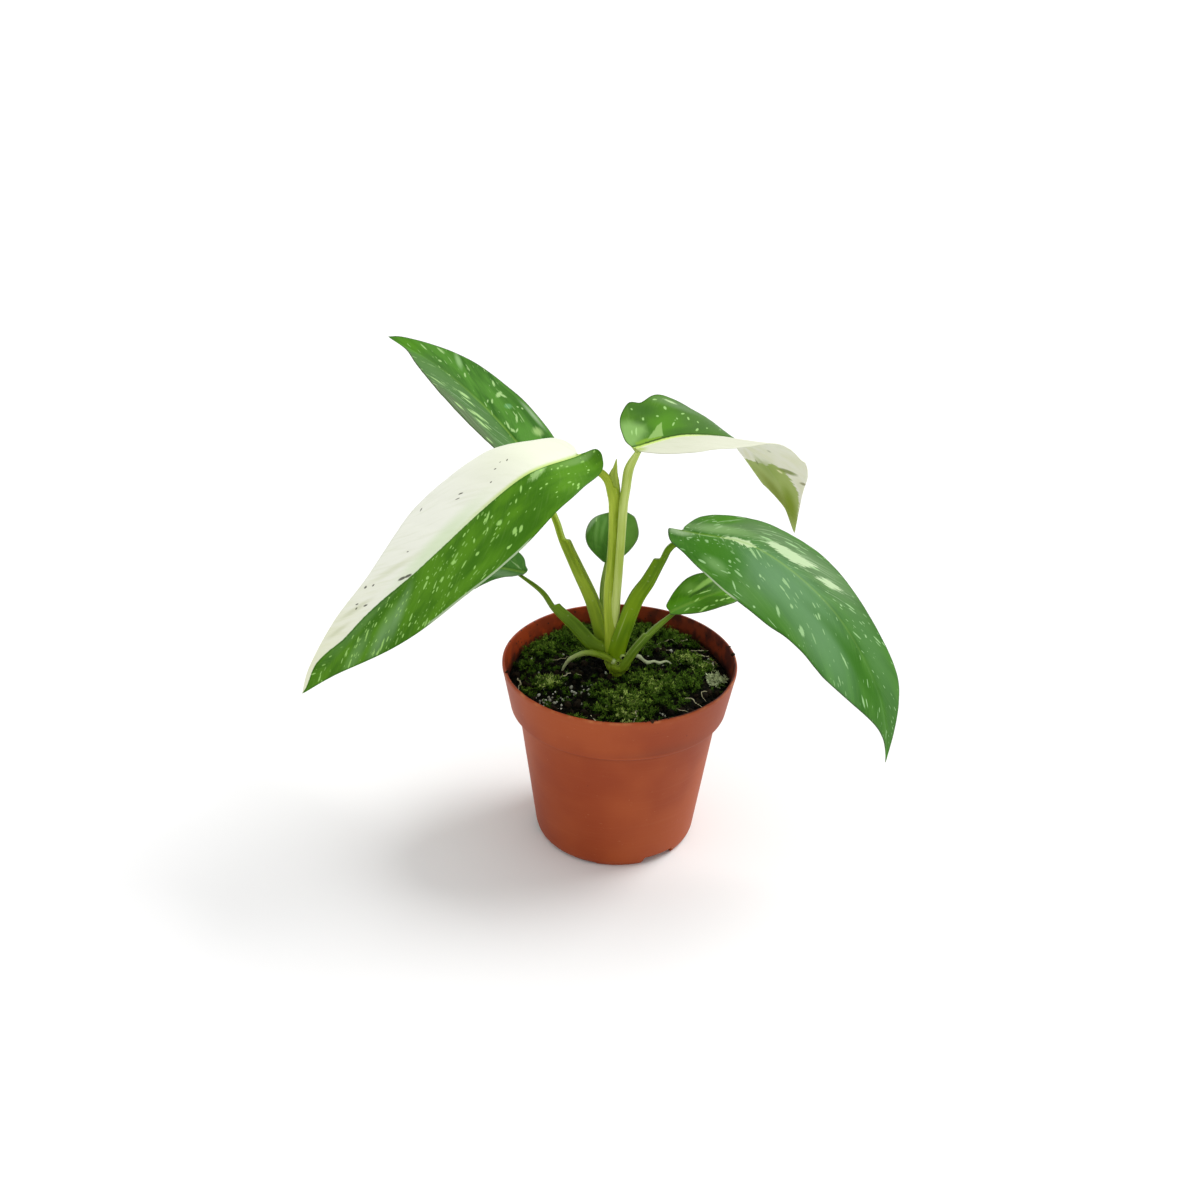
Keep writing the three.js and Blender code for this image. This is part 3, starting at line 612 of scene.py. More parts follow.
# specks and dashes say how many there are, crowd how many at the base and how that changes towards the tip.
# rims are stretches of the margin that look pale: the half, where each starts and where it ends
leafLooks = {
    "half_moon": {
        "slot": "half_cream_leaf", "seed": 3,
        "deep": "#3c7006", "mid": "#548a12", "edge": "#33600e", "mark": "#a6d873",
        "specks": 0.6, "dashes": 0.42, "crowd": (0.35, 0.65),
        "rims": [(1, 48, 112)],
        "ribWidth": 2.4,
        "patches": [
            oval((24, 2.8), (6, 2), 20, "#a5cb80", 0.75, 0.4, 2.2),
            oval((2, 4), (8, 2.2), 0, "#7da45e", 0.6, 0.6),
            oval((11, 3), (7, 3), 0, "#6f9c42", 0.5, 0.6),
            # painted sheen: two pale grey-green streaks towards the tip
            oval((117, 11), (11, 2.2), 30, "#8fb583", 0.4, 0.9),
            oval((130, 13), (12, 3), 22, "#8fb583", 0.4, 0.9),
            oval((146, 9), (10, 3), 15, "#7aa860", 0.5),
            oval((134, -2), (22, 3), 0, "#5b8450", 0.5),
        ],
        "marks": [
            (36, 6, 2.2, 0.5, 50), (57, 6, 3.4, 0.6, 33), (55, 13, 1.8, 1, 20), (49.8, 23.6, 1.7, 0.8, 33),
            (52.6, 22.2, 1.8, 1.1, 33), (53.4, 24.2, 1, 0.5, 33), (61, 11, 1.4, 0.5, 40),
            (69, 10.7, 1.3, 0.5, 40), (60, 26.8, 1, 0.7, 0), (82.6, 11.8, 1.4, 0.9, 0),
            (91.5, 14.6, 1.5, 0.6, 30), (96.4, 7.8, 0.8, 0.8, 0), (72, 17.7, 1.2, 0.7, 20),
            (77, 22.6, 1.2, 0.5, 30), (136, 6, 2.2, 0.5, 33), (141, 4, 1.8, 0.4, 33),
            (133, 17, 3, 0.5, 30), (137, 18.5, 2.6, 0.5, 30), (150, 4, 2, 0.4, 25), (12, 20, 1.4, 0.5, 40),
            (13.5, 22, 1.5, 0.5, 40), (14, 18.5, 0.9, 0.4, 40), (25, 12, 0.9, 0.5, 20),
            (42, 10, 1.2, 0.4, 40),
        ],
        "creamPatches": [
            oval((82, -3), (26, 4), 3, "#d5e8bd", 0.7),
            oval((106, -10), (12, 1.4), -15, "#ccd3a9", 0.4, 0.9),
            oval((133, -9), (8, 1.1), -15, "#b4bb8a", 0.4, 0.9),
            oval((147, -8), (6, 1), -12, "#b4bb8a", 0.35, 0.9),
            # painted shade: darkens the cream half near the base
            oval((16, -16), (30, 22), 0, "#e4e8cf", 0.8),
        ],
        "flecks": [
            (57.8, -15.7, 1.5, 0.45, -30), (60.5, -14.5, 1.4, 0.3, -30), (77.6, -28.2, 1.2, 0.4, 30),
            (103, -1.3, 2, 0.6, -20), (106.3, -2.6, 2.3, 0.75, -20), (122.7, -14.1, 0.9, 0.6, 0),
            (119.1, -11.6, 0.8, 0.4, 0), (128, -6.4, 1.2, 0.45, -20), (132.5, -9, 0.7, 0.4, 0),
            (131, -10.5, 0.9, 0.35, -30), (38, -13, 0.6, 0.35, 0), (31, -13.5, 0.9, 0.35, 40),
            (44, -8, 0.6, 0.35, 0), (34, -15, 0.5, 0.3, 0), (96, -12, 0.7, 0.3, -30),
        ],
    },
    "upper_left": {
        "slot": "speckled_leaf", "seed": 8,
        "deep": "#2b5f0b", "mid": "#4c8426", "edge": "#4d4a40", "mark": "#a6cc84",
        "specks": 0.3, "dashes": 0.35, "crowd": (0.6, 0.0),
        "patches": [
            # painted sheen: greyish green over the left half
            oval((48, 11.5), (52, 10.5), 0, "#487036", 0.9, 0.35),
            oval((36, 19), (34, 3.5), 0, "#5c684c", 0.7),
            oval((38, 13), (40, 8), 0, "#a4c094", 0.7, 0.5, streaks=True),
            oval((85, 4), (26, 6), 0, "#56803e", 0.6),
            oval((36.7, -11.3), (1.8, 1.8), 0, "#6aa468", 0.7, 0.5),
            oval((15, -14.6), (3, 2.4), 0, "#a4c878", 0.7, 0.6, 2.4),
            # painted highlight: a pale gloss strip near the margin
            oval((26, -19), (9, 1), 0, "#a9c49a", 0.6),
            oval((76.5, -11), (5, 1.3), -30, "#98c280", 0.7, 0.7),
            oval((103, -2), (9, 4), 0, "#4f8a12", 0.8),
        ],
        "marks": [
            (52.7, 6.1, 3.6, 1.3, 14), (47.4, 7.9, 4.5, 0.6, 10), (35, 11, 5, 1, 12),
            (31, 9.5, 3.4, 0.5, 12), (28, 13.4, 5.5, 0.9, 10), (43.8, 17.5, 4, 0.7, 6),
            (67.5, 13.3, 6, 0.5, 6), (15, 18.4, 3, 0.6, 8), (38, 13, 3, 0.5, 10), (25, 11, 3, 0.4, 10),
            (46.3, -12.7, 2.6, 1.3, -60), (45, -13.8, 2.6, 0.8, 20), (54.5, -15.7, 2.2, 0.6, -25),
            (67, -6.7, 1.9, 0.5, -35), (82.7, -3.6, 1.2, 0.6, 0), (95.7, -5.7, 2.8, 0.4, -15),
            (88, -9.7, 2.8, 0.5, -10), (43.6, -6, 1.9, 0.5, -40), (44.7, -3.9, 1.2, 0.4, -40),
            (27.3, -9.7, 3.2, 0.6, -33), (25, -2.6, 3.4, 0.6, -15), (21, -2.8, 1.6, 0.9, 0),
            (20, -4.8, 1.8, 0.5, -50), (34, -15.3, 0.7, 0.5, 0), (32, -16.7, 0.7, 0.5, 0),
        ],
    },
    "upper_right": {
        "slot": "half_cream_leaf", "seed": 5,
        "deep": "#265402", "mid": "#457606", "edge": "#2c4616", "mark": "#9cc878",
        "specks": 0.15, "dashes": 0.08, "crowd": (0.3, 0.3),
        "creamTones": ("#d3d5c0", "#c6cab0", "#d3d5c0"),
        "ribWidth": 1, "specular": 0.05,
        "patches": [
            oval((30, 9), (14, 7), 10, "#4a8402", 0.9),
            oval((19, 18), (9, 4), -10, "#2c5c00", 0.8),
            oval((34, 3), (10, 2), 0, "#2f6000", 0.7),
            oval((62, 9), (24, 12), 0, "#48702c", 0.85),
            oval((44, 20), (14, 3), -12, "#6f8c60", 0.6, 0.7),
            oval((40, 21.5), (4, 0.8), -15, "#bcd8a0", 0.8, 0.5),
            # painted sheen: a light patch near the base
            area([(-4, 0), (3, 2), (13, 7), (14, 10), (6, 15), (0, 15), (-4, 9)], "#7aa654", 0.95, 3),
            area([(1, 0), (20, 0.6), (20, 2.4), (9, 3.6), (2, 3)], "#76a024", 0.9, 0.7),
            area([(11, 3), (21.5, 2.4), (25.5, 9.4), (22.5, 8.6)], "#86ad5c", 0.95, 0.3),
            area([(8, 0.9), (24, 0.5), (24, 1.5), (8, 1.9)], "#4a6b12", 0.8, 0.3),
        ],
        "marks": [
            (4, 8.7, 1.6, 0.4, 53), (7, 8.5, 2.2, 0.5, 53), (15.8, 13.5, 1, 0.7, 50),
            (25.3, 13.2, 0.8, 0.5, 0), (32.9, 17.2, 1, 0.8, 50), (32.5, 7.6, 1.6, 0.4, 35),
            (37, 10.6, 0.7, 0.5, 40), (44, 14, 1.8, 0.4, 10), (46, 11, 1.1, 0.8, 60),
            (52, 9, 0.8, 0.6, 60), (47.3, 3.6, 1.6, 0.6, 25), (29.5, 22.5, 1.2, 0.4, 0),
            (12.7, 20, 0.5, 0.5, 0), (56, 5, 1, 0.4, 20),
        ],
        "creamPatches": [
            oval((0, -1.5), (4, 3), 0, "#a9bd62", 0.9),
        ],
        "under": [
            oval((0, 0), (5, 4), 0, "#a9bd62", 1, 0.6),
            area([(105, -3), (110, -6), (131, -7.5), (141, -5.5), (158, -1), (158, 18), (107, 18)],
                 "#a3b66a", 1, 0.5, 2.2),
            oval((131, 5), (14, 3), -20, "#7f9038", 0.8, 0.9),
            oval((138, -1.5), (11, 2.6), 0, "#7c922c", 0.9),
            oval((109, 2), (9, 4), 0, "#8ca352", 0.7, 0.9),
            oval((114, -8), (5, 1.6), -38, "#84924e", 0.9, 0.4, 0.6),
            oval((113, -4), (2, 0.6), -20, "#dfe3ae", 0.9, 0.4),
            oval((106, 7), (3, 0.7), 15, "#7f8c58", 0.8, 0.5),
            oval((125, -12), (1.8, 0.9), -50, "#87885c", 0.8, 0.5),
            oval((92, -9), (1.6, 0.6), 0, "#b3b79c", 0.8, 0.6),
        ],
    },
    "right": {
        "slot": "speckled_leaf", "seed": 12,
        "deep": "#2e640f", "mid": "#427820", "edge": "#3f5036", "mark": "#9ac486",
        "specks": 0.4, "dashes": 0.36, "crowd": (0.6, -0.15),
        "rims": [(-1, 17, 48)],
        "patches": [
            # painted sheen: the next three greyish-green patches
            oval((62, -9), (34, 11), -3, "#639060", 0.8),
            oval((98, -17), (26, 9), -6, "#5f8c58", 0.75),
            oval((48, 15), (46, 8), 0, "#5f8050", 0.85, 0.7),
            oval((110, 9), (28, 7), 0, "#4d7c3e", 0.8),
            oval((11, 17), (12, 5), 10, "#448208", 0.95, 0.6),
            oval((16, 7), (16, 4), 4, "#7ba262", 0.85, 0.7),
            oval((40, 12), (46, 11), 0, "#a9c896", 0.6, 0.5, streaks=True),
            oval((20, -3), (26, 4), -4, "#a9c896", 0.6, 0.6, streaks=True),
            oval((22, -11), (18, 7), -20, "#387408", 0.8, 0.7),
            oval((-2, -2), (6, 2.4), 0, "#a3bf92", 0.8, 0.9),
            oval((24, -20), (7, 3), -25, "#709c58", 0.8),
            # painted shade along the midrib's groove towards the tip
            oval((118, -6), (34, 3), 4, "#30680c", 0.8),
            area([(20, -0.4), (34, -2.4), (38, 0.2), (33, 2.4), (23, 1.6)], "#bcd4a2", 0.95, 0.4, 2.6),
            area([(40, 7.6), (55, 5.6), (62, 8.5), (66, 15.5), (52, 13.6), (42, 11.8)],
                 "#b6cfa0", 0.95, 0.5, 4),
            area([(68, 6.6), (78, 10), (84, 14.6), (74, 13.2)], "#b6cfa0", 0.95, 0.5, 4),
        ],
        "marks": [
            (14, -5, 1.6, 0.8, -50), (38, -4, 4, 0.6, -33), (41, -3, 3, 0.4, -33), (13, -0.8, 5, 0.3, -3),
            (38.5, 11, 3, 0.7, 12), (50.5, 18, 3.6, 0.6, 12), (56, 17.6, 3, 0.4, 12), (66, 13, 3, 0.5, 25),
            (87.5, 6.8, 0.9, 0.5, 0), (107, 9, 0.9, 0.5, 0), (40, -28, 3.6, 0.5, -40),
            (55.5, -31, 0.9, 0.6, 0), (66.5, -23.3, 3.2, 0.8, -34), (82.6, -22, 3, 1, -30),
            (83.4, -8.9, 1.7, 0.5, -30), (109, -12, 4.2, 0.5, -6), (132, -12.4, 3.2, 0.5, -10),
            (134, -10.5, 2.4, 0.3, -10), (48, -14, 1, 0.5, -30), (51, -20, 1.2, 0.5, -30),
            (30, -15, 1.1, 0.6, -40), (33, -22, 0.9, 0.5, 0), (5, -5, 1.4, 0.6, 30),
            (70, -16, 1.4, 0.6, -20),
        ],
    },
    "back_small": {
        "slot": "speckled_leaf", "seed": 15,
        "deep": "#2f5c0e", "mid": "#4b7e28", "edge": "#6c7a5e", "mark": "#9cc47a",
        "specks": 0.1, "dashes": 0.1, "crowd": (0.5, 0.0),
        "patches": [
            oval((14, 8), (6, 1), 10, "#6f9f4c", 0.7),
            oval((16, 5), (5, 0.9), 5, "#6f9f4c", 0.6),
            oval((17, 11.5), (6, 1), -20, "#8aa87c", 0.6),
            oval((15, -9), (12, 6), 0, "#6a9a3c", 0.85),
        ],
    },
    "left_small": {
        "slot": "speckled_leaf", "seed": 18,
        "deep": "#34661c", "mid": "#487a30", "edge": "#6f7f66", "mark": "#9cc47a",
        "specks": 0.1, "dashes": 0.1, "crowd": (0.5, 0.0),
        "patches": [
            # painted sheen: a grey patch over the blade
            oval((12, 4), (12, 2.4), 0, "#7b9a72", 0.6),
            oval((5.6, -3.4), (3.4, 0.35), -30, "#9dbf82", 0.8, 0.6),
        ],
    },
    "right_small": {
        "slot": "speckled_leaf", "seed": 21,
        "deep": "#386a02", "mid": "#4e8808", "edge": "#4c5c34", "mark": "#a9d47a",
        "specks": 0.25, "dashes": 0.25, "crowd": (0.5, 0.0),
        "patches": [
            oval((15.5, 7.6), (4, 3), 0, "#6a9a3c", 0.7),
            oval((6, -1), (7, 3), 0, "#5f9438", 0.6),
            oval((20, 4.2), (7, 0.7), 7, "#2c5602", 0.9, 0.5),
            area([(12, 3.8), (20, 5.2), (30, 5.8), (30, 10), (24, 8.6), (17, 6)],
                 "#8dbb56", 0.85, 0.6, 0.6),
        ],
        "marks": [
            (8, -3, 1.7, 0.5, 15), (15.5, -6.8, 2.8, 0.6, 15), (15.5, 0.3, 1.6, 0.4, 15),
            (24, -5, 0.9, 0.6, 0), (27, -5.6, 1.8, 0.5, 10), (31, -5.6, 1.6, 0.4, 5),
            (21.5, 2.6, 3.6, 0.3, -3),
        ],
    },
}


def ovalReach(flat, place, size, turn):  # 1 at the rim of an oval
    spin = (0, 0, math.radians(turn))
    sockets = {"Vector": flat, "Location": (*place, 0), "Rotation": spin, "Scale": (*size, 1)}
    inside = flat.node("ShaderNodeMapping", {"vector_type": "TEXTURE"}, sockets)
    return vectorSum("LENGTH", inside, (0, 0, 0), out=1)


def patchMask(flat, patch, ragged):
    soft, torn = patch["soft"], patch["torn"]
    if "at" in patch:
        reach = ovalReach(flat, patch["at"], patch["size"], patch["turn"])
        return smooth(reach + ragged * (torn / min(patch["size"])), 1 + soft, 1 - soft)
    inside = None
    corners = patch["corners"]
    for (ax, ay), (bx, by) in zip(corners, corners[1:] + corners[:1]):
        span = math.hypot(bx - ax, by - ay)
        inward = ((ay - by) / span, (bx - ax) / span, 0)
        gap = vectorSum("DOT_PRODUCT", flat, inward, out=1) - (ax * inward[0] + ay * inward[1])
        inside = gap if inside is None else smallest(inside, gap)
    return smooth(inside + ragged * torn, -soft, soft)


def markMask(flat, marks, ragged):
    nearest = None
    for x, y, reach, width, turn in marks:
        found = ovalReach(flat, (x, y), (reach, width), turn)
        nearest = found if nearest is None else smallest(nearest, found)
    return smooth(nearest + ragged * 1.5, 1.3, 0.6)


def dashes(grain, kind, amount, ragged):  # short marks along the side veins
    across, lengthwise, spread = speckle[kind]
    found = cells(stretched(grain, (1 / across, 1 / lengthwise, 0)), flat=True)
    chance, share, shine = (part(found.beside(1), axis) for axis in range(3))
    reach = 0.1 + spread * (share * share)
    there = smooth(amount - chance, 0, 0.04)
    return smooth(reach * there - found - ragged, 0, 0.06) * (0.45 + 0.55 * shine)


def veined(grain, across, lengthwise, detail=3, roughness=0.55):  # noise drawn out along the side veins
    return cloud(stretched(grain, (across, lengthwise, 1)), 1, detail, roughness)


def leafMarks(look, length, x, flat, grain, torn, fine):  # scattered specks and dashes, and the placed marks
    atBase, change = look["crowd"]
    crowd = atBase + change * smooth(x, 0.1 * length, 0.8 * length)
    clump = smooth(cloud(grain, 0.06, 2), 0.3, 0.6) * 0.75 + 0.25
    specks = dashes(grain, "specks", crowd * clump * look["specks"], fine * 0.3)
    streaks = dashes(shifted(grain, (7, 3, 0)), "dashes", crowd * clump * look["dashes"], fine * 0.3)
    marks = largest(specks, streaks)
    if "marks" in look:
        marks = largest(marks, markMask(flat, look["marks"], torn * 0.5 + fine * 1.5))
    return marks


def patched(colour, patches, flat, torn, hairs=None):  # the colour with the patches laid over it in turn
    for patch in patches:
        mask = patchMask(flat, patch, torn)
        if patch["streaks"]:
            mask = mask * hairs
        colour = blend(mask * patch["strength"], colour, patch["colour"])
    return colour


def leafCream(look, length, x, y, flat, grain, torn):  # distance into the cream half, and its colour
    tip = smooth(x, 0.53 * length, 0.75 * length) * 2.5 + smooth(x, 0.8 * length, 0.9 * length) * 2.5
    edge = 0.9 - smooth(x, 0.2 * length, 0.4 * length) * 0.9 - tip + smooth(x, 0.91 * length, length) * 5
    reach = edge - y + torn * 0.3
    bands = veined(grain, 0.5, 0.05)
    plain, shaded, tipTone = look.get("creamTones", leafTints["creamTones"])
    cream = blend(smooth(bands, 0.45, 0.75) * 0.5, plain, shaded)
    cream = blend(smooth(x + (bands - 0.5) * 60, 0.55 * length, length) * 0.6, cream, tipTone)
    cream = patched(cream, look["creamPatches"], flat, torn)
    if "flecks" in look:
        cream = blend(markMask(flat, look["flecks"], torn * 0.5) * 0.85, cream, leafTints["fleck"])
    nearRib = smooth(reach, look["ribWidth"], 0.4) * smooth(x, 0.5 * length, 0.15 * length)
    return reach, blend(nearRib * 0.9, cream, leafTints["creamRib"])


def leafBelow(look, mottle, marks, flat, torn):  # colour of the underside
    if "under" in look:
        tones = leafTints["underTones"]
        return patched(blend(smooth(mottle, 0.4, 0.7), *tones), look["under"], flat, torn)
    deep, light, speckles = leafTints["below"]
    return blend(marks * 0.5, blend(mottle, deep, light), speckles)


def paintLeaf(name, form, look):
    material, start = newPaint("leaf-" + name)
    length = midribScale(form)[1][-1]
    place = attribute(start, "leafPlace")
    flat = stretched(place, (1, 1, 0))
    x, y, under = (part(place, axis) for axis in range(3))
    grained = attribute(start, "leafGrain")
    inset = part(grained, 2)
    grain = shifted(stretched(grained, (1, 1, 0)), (look["seed"] * 41.7, look["seed"] * 23.1, 0))
    torn = (veined(grain, 1.1, 0.14, roughness=0.6) - 0.5) * 2
    fine = (veined(grain, 1.6, 0.7, 2, 0.6) - 0.5) * 0.3
    mottle = veined(grain, 0.09, 0.05)
    lines = veined(grain, 1.6, 0.05)
    hairs = smooth(veined(grain, 1.3, 0.07, 2, 0.6), 0.55, 0.72)

    colour = blend(smooth(mottle, 0.35, 0.65), look["deep"], look["mid"])
    colour = blend(smooth(lines, 0.5, 0.8) * 0.18, colour, leafTints["line"])
    colour = patched(colour, look["patches"], flat, torn, hairs)
    marks = leafMarks(look, length, x, flat, grain, torn, fine)
    colour = blend(marks * 0.85, colour, look["mark"])
    away = withoutSign(y)
    rib = smooth(away, 1, 0.3) * smooth(x, 0.9 * length, 0.1 * length)
    colour = blend(rib * 0.35, colour, leafTints["rib"])
    outline = smooth(inset, 0.55, 0.1) * smooth(away, 0.8, 2)
    below = leafBelow(look, mottle, marks, flat, torn)
    if "creamPatches" in look:
        reach, cream = leafCream(look, length, x, y, flat, grain, torn)
        creamSide = smooth(reach, -0.15, 0.15)
        seam = smooth(withoutSign(reach + 0.5), 0.6, 0.1) * 0.6  # a darker line where the green half ends
        colour = blend(creamSide, blend(seam, colour, look["edge"]), cream)
        outline = outline * (1 - creamSide)
        if "under" not in look:
            below = blend(creamSide, below, leafTints["creamBelow"])
    colour = blend(outline * 0.6, colour, look["edge"])
    for side, first, last in look.get("rims", []):
        rim = smooth(x, first, first + 6) * smooth(x, last, last - 6) * smooth(y * side, 0, 1)
        colour = blend(smooth(inset, 0.9, 0.4) * rim * 0.85, colour, leafTints["rim"])
    colour = blend(smooth(under, 0.4, 0.6), colour, below)
    roughness = leafTints["roughness"] + 0.12 * cloud(grain, 0.3, 2) + 0.14 * under
    height = 0.6 * lines + 0.8 * cloud(grain, 0.6, 3)
    finishPaint(start, colour, roughness, look.get("specular", leafTints["specular"]), height, 0.3, 0.12)
    return material


# Petioles: each a stalk whose sheath wings open to one side and end in a small step

stalks = {
    "half_moon": {
        "path": [(-5, -1, 100), (-6, -1, 116), (-7, 1, 138), (-6, 2, 158),
                 (-6, 2, 180), (-7, 1, 192.5), (-11.5, 0, 204), (-24, 0, 213)],
        "radius": [2.4, 2.3, 2.2, 2.1, 1.9, 1.9, 2, 2],
        "inner": (1, 0.3, 0), "end": 0.76, "height": 5, "seat": 5,
        "light": "#b6c946", "dark": "#8ba324",
    },
    "upper_left": {
        "path": [(-5, 1, 100), (-10, 6, 108), (-16, 14, 125), (-24, 22, 140),
                 (-31, 29, 153), (-36, 36, 164), (-48, 45, 190)],
        "radius": [2.4, 2.3, 2.2, 2.1, 1.9, 1.8, 1.7],
        "inner": (0.7, -0.5, 0.3), "end": 0.66, "height": 6.5, "seat": 5,
        "light": "#a0b832", "dark": "#738e16",
    },
    "upper_right": {
        "path": [(-2, 2, 100), (-3, 1, 111), (-3, -0.5, 130), (-2.3, -2, 149), (-1.6, -2, 167),
                 (-0.9, -1, 187.5), (0, 0, 197), (1.3, 1, 207), (4, 0, 217)],
        "radius": [2.4, 2.3, 2.2, 2.1, 2.1, 2.2, 2.3, 2.3, 2.2],
        "inner": (-0.6, 0.8, 0), "end": 0.3, "height": 1, "seat": 2,
        "light": "#c9d97e", "dark": "#a8bd50",
    },
    "right": {
        "path": [(0, -2, 101), (1, -2, 110), (8, -1, 134), (14, -1, 146), (19.5, 0, 158), (23.5, 0, 166),
                 (29, 0, 174)],
        "radius": [2.6, 2.5, 2.3, 2.1, 1.8, 1.7, 1.6],
        "inner": (-1, 0, 0.6), "end": 0.66, "height": 6, "seat": 5,
        "light": "#7c9e0a", "dark": "#557b00",
    },
    "back_small": {
        "path": [(-4, 4, 102), (-8, 12, 114), (-10, 22, 129), (-8, 30, 140)],
        "radius": [1.8, 1.6, 1.3, 1.1],
        "inner": (0, -0.5, 1), "end": 0.45, "height": 1.5, "seat": 5,
        "light": "#7f9a34", "dark": "#547612",
    },
    "left_small": {
        "path": [(-4, -1, 104), (-14, 0, 106.5), (-25, 4, 117), (-34, 7, 125), (-41, 11, 133),
                 (-50, 16, 140)],
        "radius": [2, 2, 1.8, 1.5, 1.3, 1.2],
        "inner": (0.6, 0.3, 1), "end": 0.62, "height": 5.5, "seat": 5,
        "light": "#6f8f1e", "dark": "#446200",
    },
    "right_small": {
        "path": [(-1, -4, 97), (2, -5, 99), (9, -2, 109), (17, 3, 117), (25, 8, 124)],
        "radius": [2, 1.9, 1.8, 1.7, 1.4],
        "inner": (-0.5, 0, 1), "end": 0.66, "height": 2.6, "seat": 5,
        "light": "#73912a", "dark": "#486808",
    },
}
stalk = {
    "sides": 56, "steps": 110, "wingShape": 0.8, "channelDepth": 0.82, "channelWidth": 0.3,
    "opening": 0.15, "narrowing": 0.5, "fade": 0.02, "lip": 0.05, "wobble": 0.03,
    "crowding": 0.45,  # how much closer the sides stand round the sheath's lips
    "line": "#cdda94", "foot": "#7f9c10", "pale": "#c6cfa6", "roughness": 0.4, "specular": 0.14,
}


def ringFaces(rings, sides):  # quads between rings of points
    faces = []
    for j in range(rings - 1):
        for k in range(sides):
            a, b = j * sides + k, j * sides + (k + 1) % sides
            faces.append((a, b, b + sides, a + sides))
    return faces


def tubeMesh(path, radius, steps, sides, inner=(0.3, 1, 0.2), wing=None, wobble=0.0, seed=0, flat=1.0):
    # a closed tube along a path, where wing(t) is the height of its sheath. Gives points, faces and places:
    # the length along the tube, the turn round it and how near the sheath's side is
    t = np.linspace(0, 1, steps + 1)
    centre, tangent = onPath(path, t)
    up = squareTo(np.broadcast_to(np.asarray(inner, float), tangent.shape), tangent)
    across = np.cross(up, tangent)
    turn = 2 * np.pi * np.arange(sides) / sides
    angle = turn - stalk["crowding"] * np.sin(2 * (turn - np.pi / 2)) * (np.sin(turn) > 0)
    nearness = np.maximum(0, np.sin(angle))
    r = along(radius, t)[:, None] * np.ones(sides)
    if wobble:
        bumps = [[noise.noise(Vector((3 * math.cos(a), 3 * math.sin(a), 0.35 * z + seed))) for a in angle]
                 for z in t * 60]
        r = r * (1 + wobble * np.array(bumps))
    rise = flat * r * np.sin(angle)
    if wing is not None:
        slit = 1 - stalk["channelDepth"] * np.exp(-((np.cos(angle) / stalk["channelWidth"]) ** 2))
        rise = rise + wing(t)[:, None] * nearness ** stalk["wingShape"] * slit
    sideways = (r * np.cos(angle))[..., None] * across[:, None]
    points = (centre[:, None] + sideways + rise[..., None] * up[:, None]).reshape(-1, 3)
    places = np.broadcast_arrays(travelledTo(centre)[:, None], turn / (2 * np.pi), nearness)
    places = np.dstack(places).reshape(-1, 3)
    ends = np.vstack([points[:sides].mean(0), points[-sides:].mean(0)])
    faces = ringFaces(steps + 1, sides)
    first, last = len(points), len(points) + 1
    for k in range(sides):
        a, b = k, (k + 1) % sides
        faces.append((first, b, a))
        faces.append((last, steps * sides + a, steps * sides + b))
    return np.vstack([points, ends]), faces, np.vstack([places, places[0], places[-1]])


def stalkPath(name):  # the last point is set into the underside of the blade
    look = stalks[name]
    origin, _, _, up = bladeFrame(leafForms[name], np.array([float(look["seat"])]))
    return look["path"][:-1] + [tuple(origin[0] - up[0] * (blade["thickness"] + 0.5 * look["radius"][-1]))]


def makeStalk(name, paint):
    look = stalks[name]
    radius = look["radius"][:-1] + [0.6 * look["radius"][-1]]
    steps, sides = stalk["steps"], stalk["sides"]

    def wing(t):
        # the sheath opens above the crown, narrows upwards and ends in a small free lip
        fade = smoothStep(look["end"] + stalk["fade"] / 2 - t, 0, stalk["fade"])
        lip = 1 + stalk["lip"] * np.exp(-(((t - look["end"] + stalk["fade"]) / (1.5 * stalk["fade"])) ** 2))
        narrowed = 1 - stalk["narrowing"] * np.minimum(1, t / look["end"])
        return look["height"] * fade * lip * narrowed * (0.5 + 0.5 * smoothStep(t, 0, stalk["opening"]))

    points, faces, places = tubeMesh(
        stalkPath(name), radius, steps, sides, look["inner"], wing, stalk["wobble"], len(name))
    makePiece("petiole-" + name, points * mm, faces, paint, ["petiole_" + name],
              {"stalkPlace": places})


def paintStalk(name, light, dark, foot=0.4, tip=0):
    # foot: strength of the deeper green at the base, tip: length in mm over which a root turns pale
    material, start = newPaint("stalk-" + name)
    place = attribute(start, "stalkPlace")
    length, inner = part(place, 0), part(place, 2)
    ribs = cloud(stretched(place, (0.02, 34, 0)), 1, 2, 0.6)
    wide = cloud(stretched(place, (0.04, 5, 0)), 1, 2)
    colour = blend(smooth(0.35 * ribs + 0.65 * wide, 0.36, 0.66), dark, light)
    colour = blend(smooth(ribs, 0.6, 0.72) * 0.25, colour, stalk["line"])
    colour = blend(smooth(length, 22, 3) * foot, colour, stalk["foot"])
    colour = blend(smooth(inner, 0.9, 0.97) * smooth(inner, 1, 0.985) * 0.35, colour, stalk["line"])
    dots = dotted(cells(stretched(place, (0.35, 16, 0)), flat=True), (0.2, 0.1), (0.85, 0.95))
    colour = blend(dots * 0.15, colour, stalk["line"])
    if tip:
        colour = blend(smooth(length + wide * 4, 0.25 * tip, tip), colour, stalk["pale"])
    finishPaint(start, colour, stalk["roughness"] + 0.14 * wide, stalk["specular"], ribs, 0.3, 0.15)
    return material


spike = {  # the sheath of the next leaf, beside the half moon leaf's petiole
    "path": [(-4, 1.5, 183), (-4.5, 1.5, 190), (-5.5, 1.5, 197), (-6.2, 1.5, 202.5), (-5.5, 1.5, 207),
             (-5, 1.5, 211.5)],
    "radius": [1.2, 2.2, 2.6, 2.3, 1.1, 0.2],
    "steps": 50, "sides": 20, "wobble": 0.1, "flatness": 0.4,
    "light": "#b8cb58", "dark": "#8ca23a",
}


def makeSpike():
    points, faces, places = tubeMesh(
        spike["path"], spike["radius"], spike["steps"], spike["sides"], (0, 1, 0),
        wobble=spike["wobble"], flat=spike["flatness"])
    paint = paintStalk("spike", spike["light"], spike["dark"], 0)
    makePiece("leaf-spike", points * mm, faces, paint, values={"stalkPlace": places})


# Crown and aerial roots

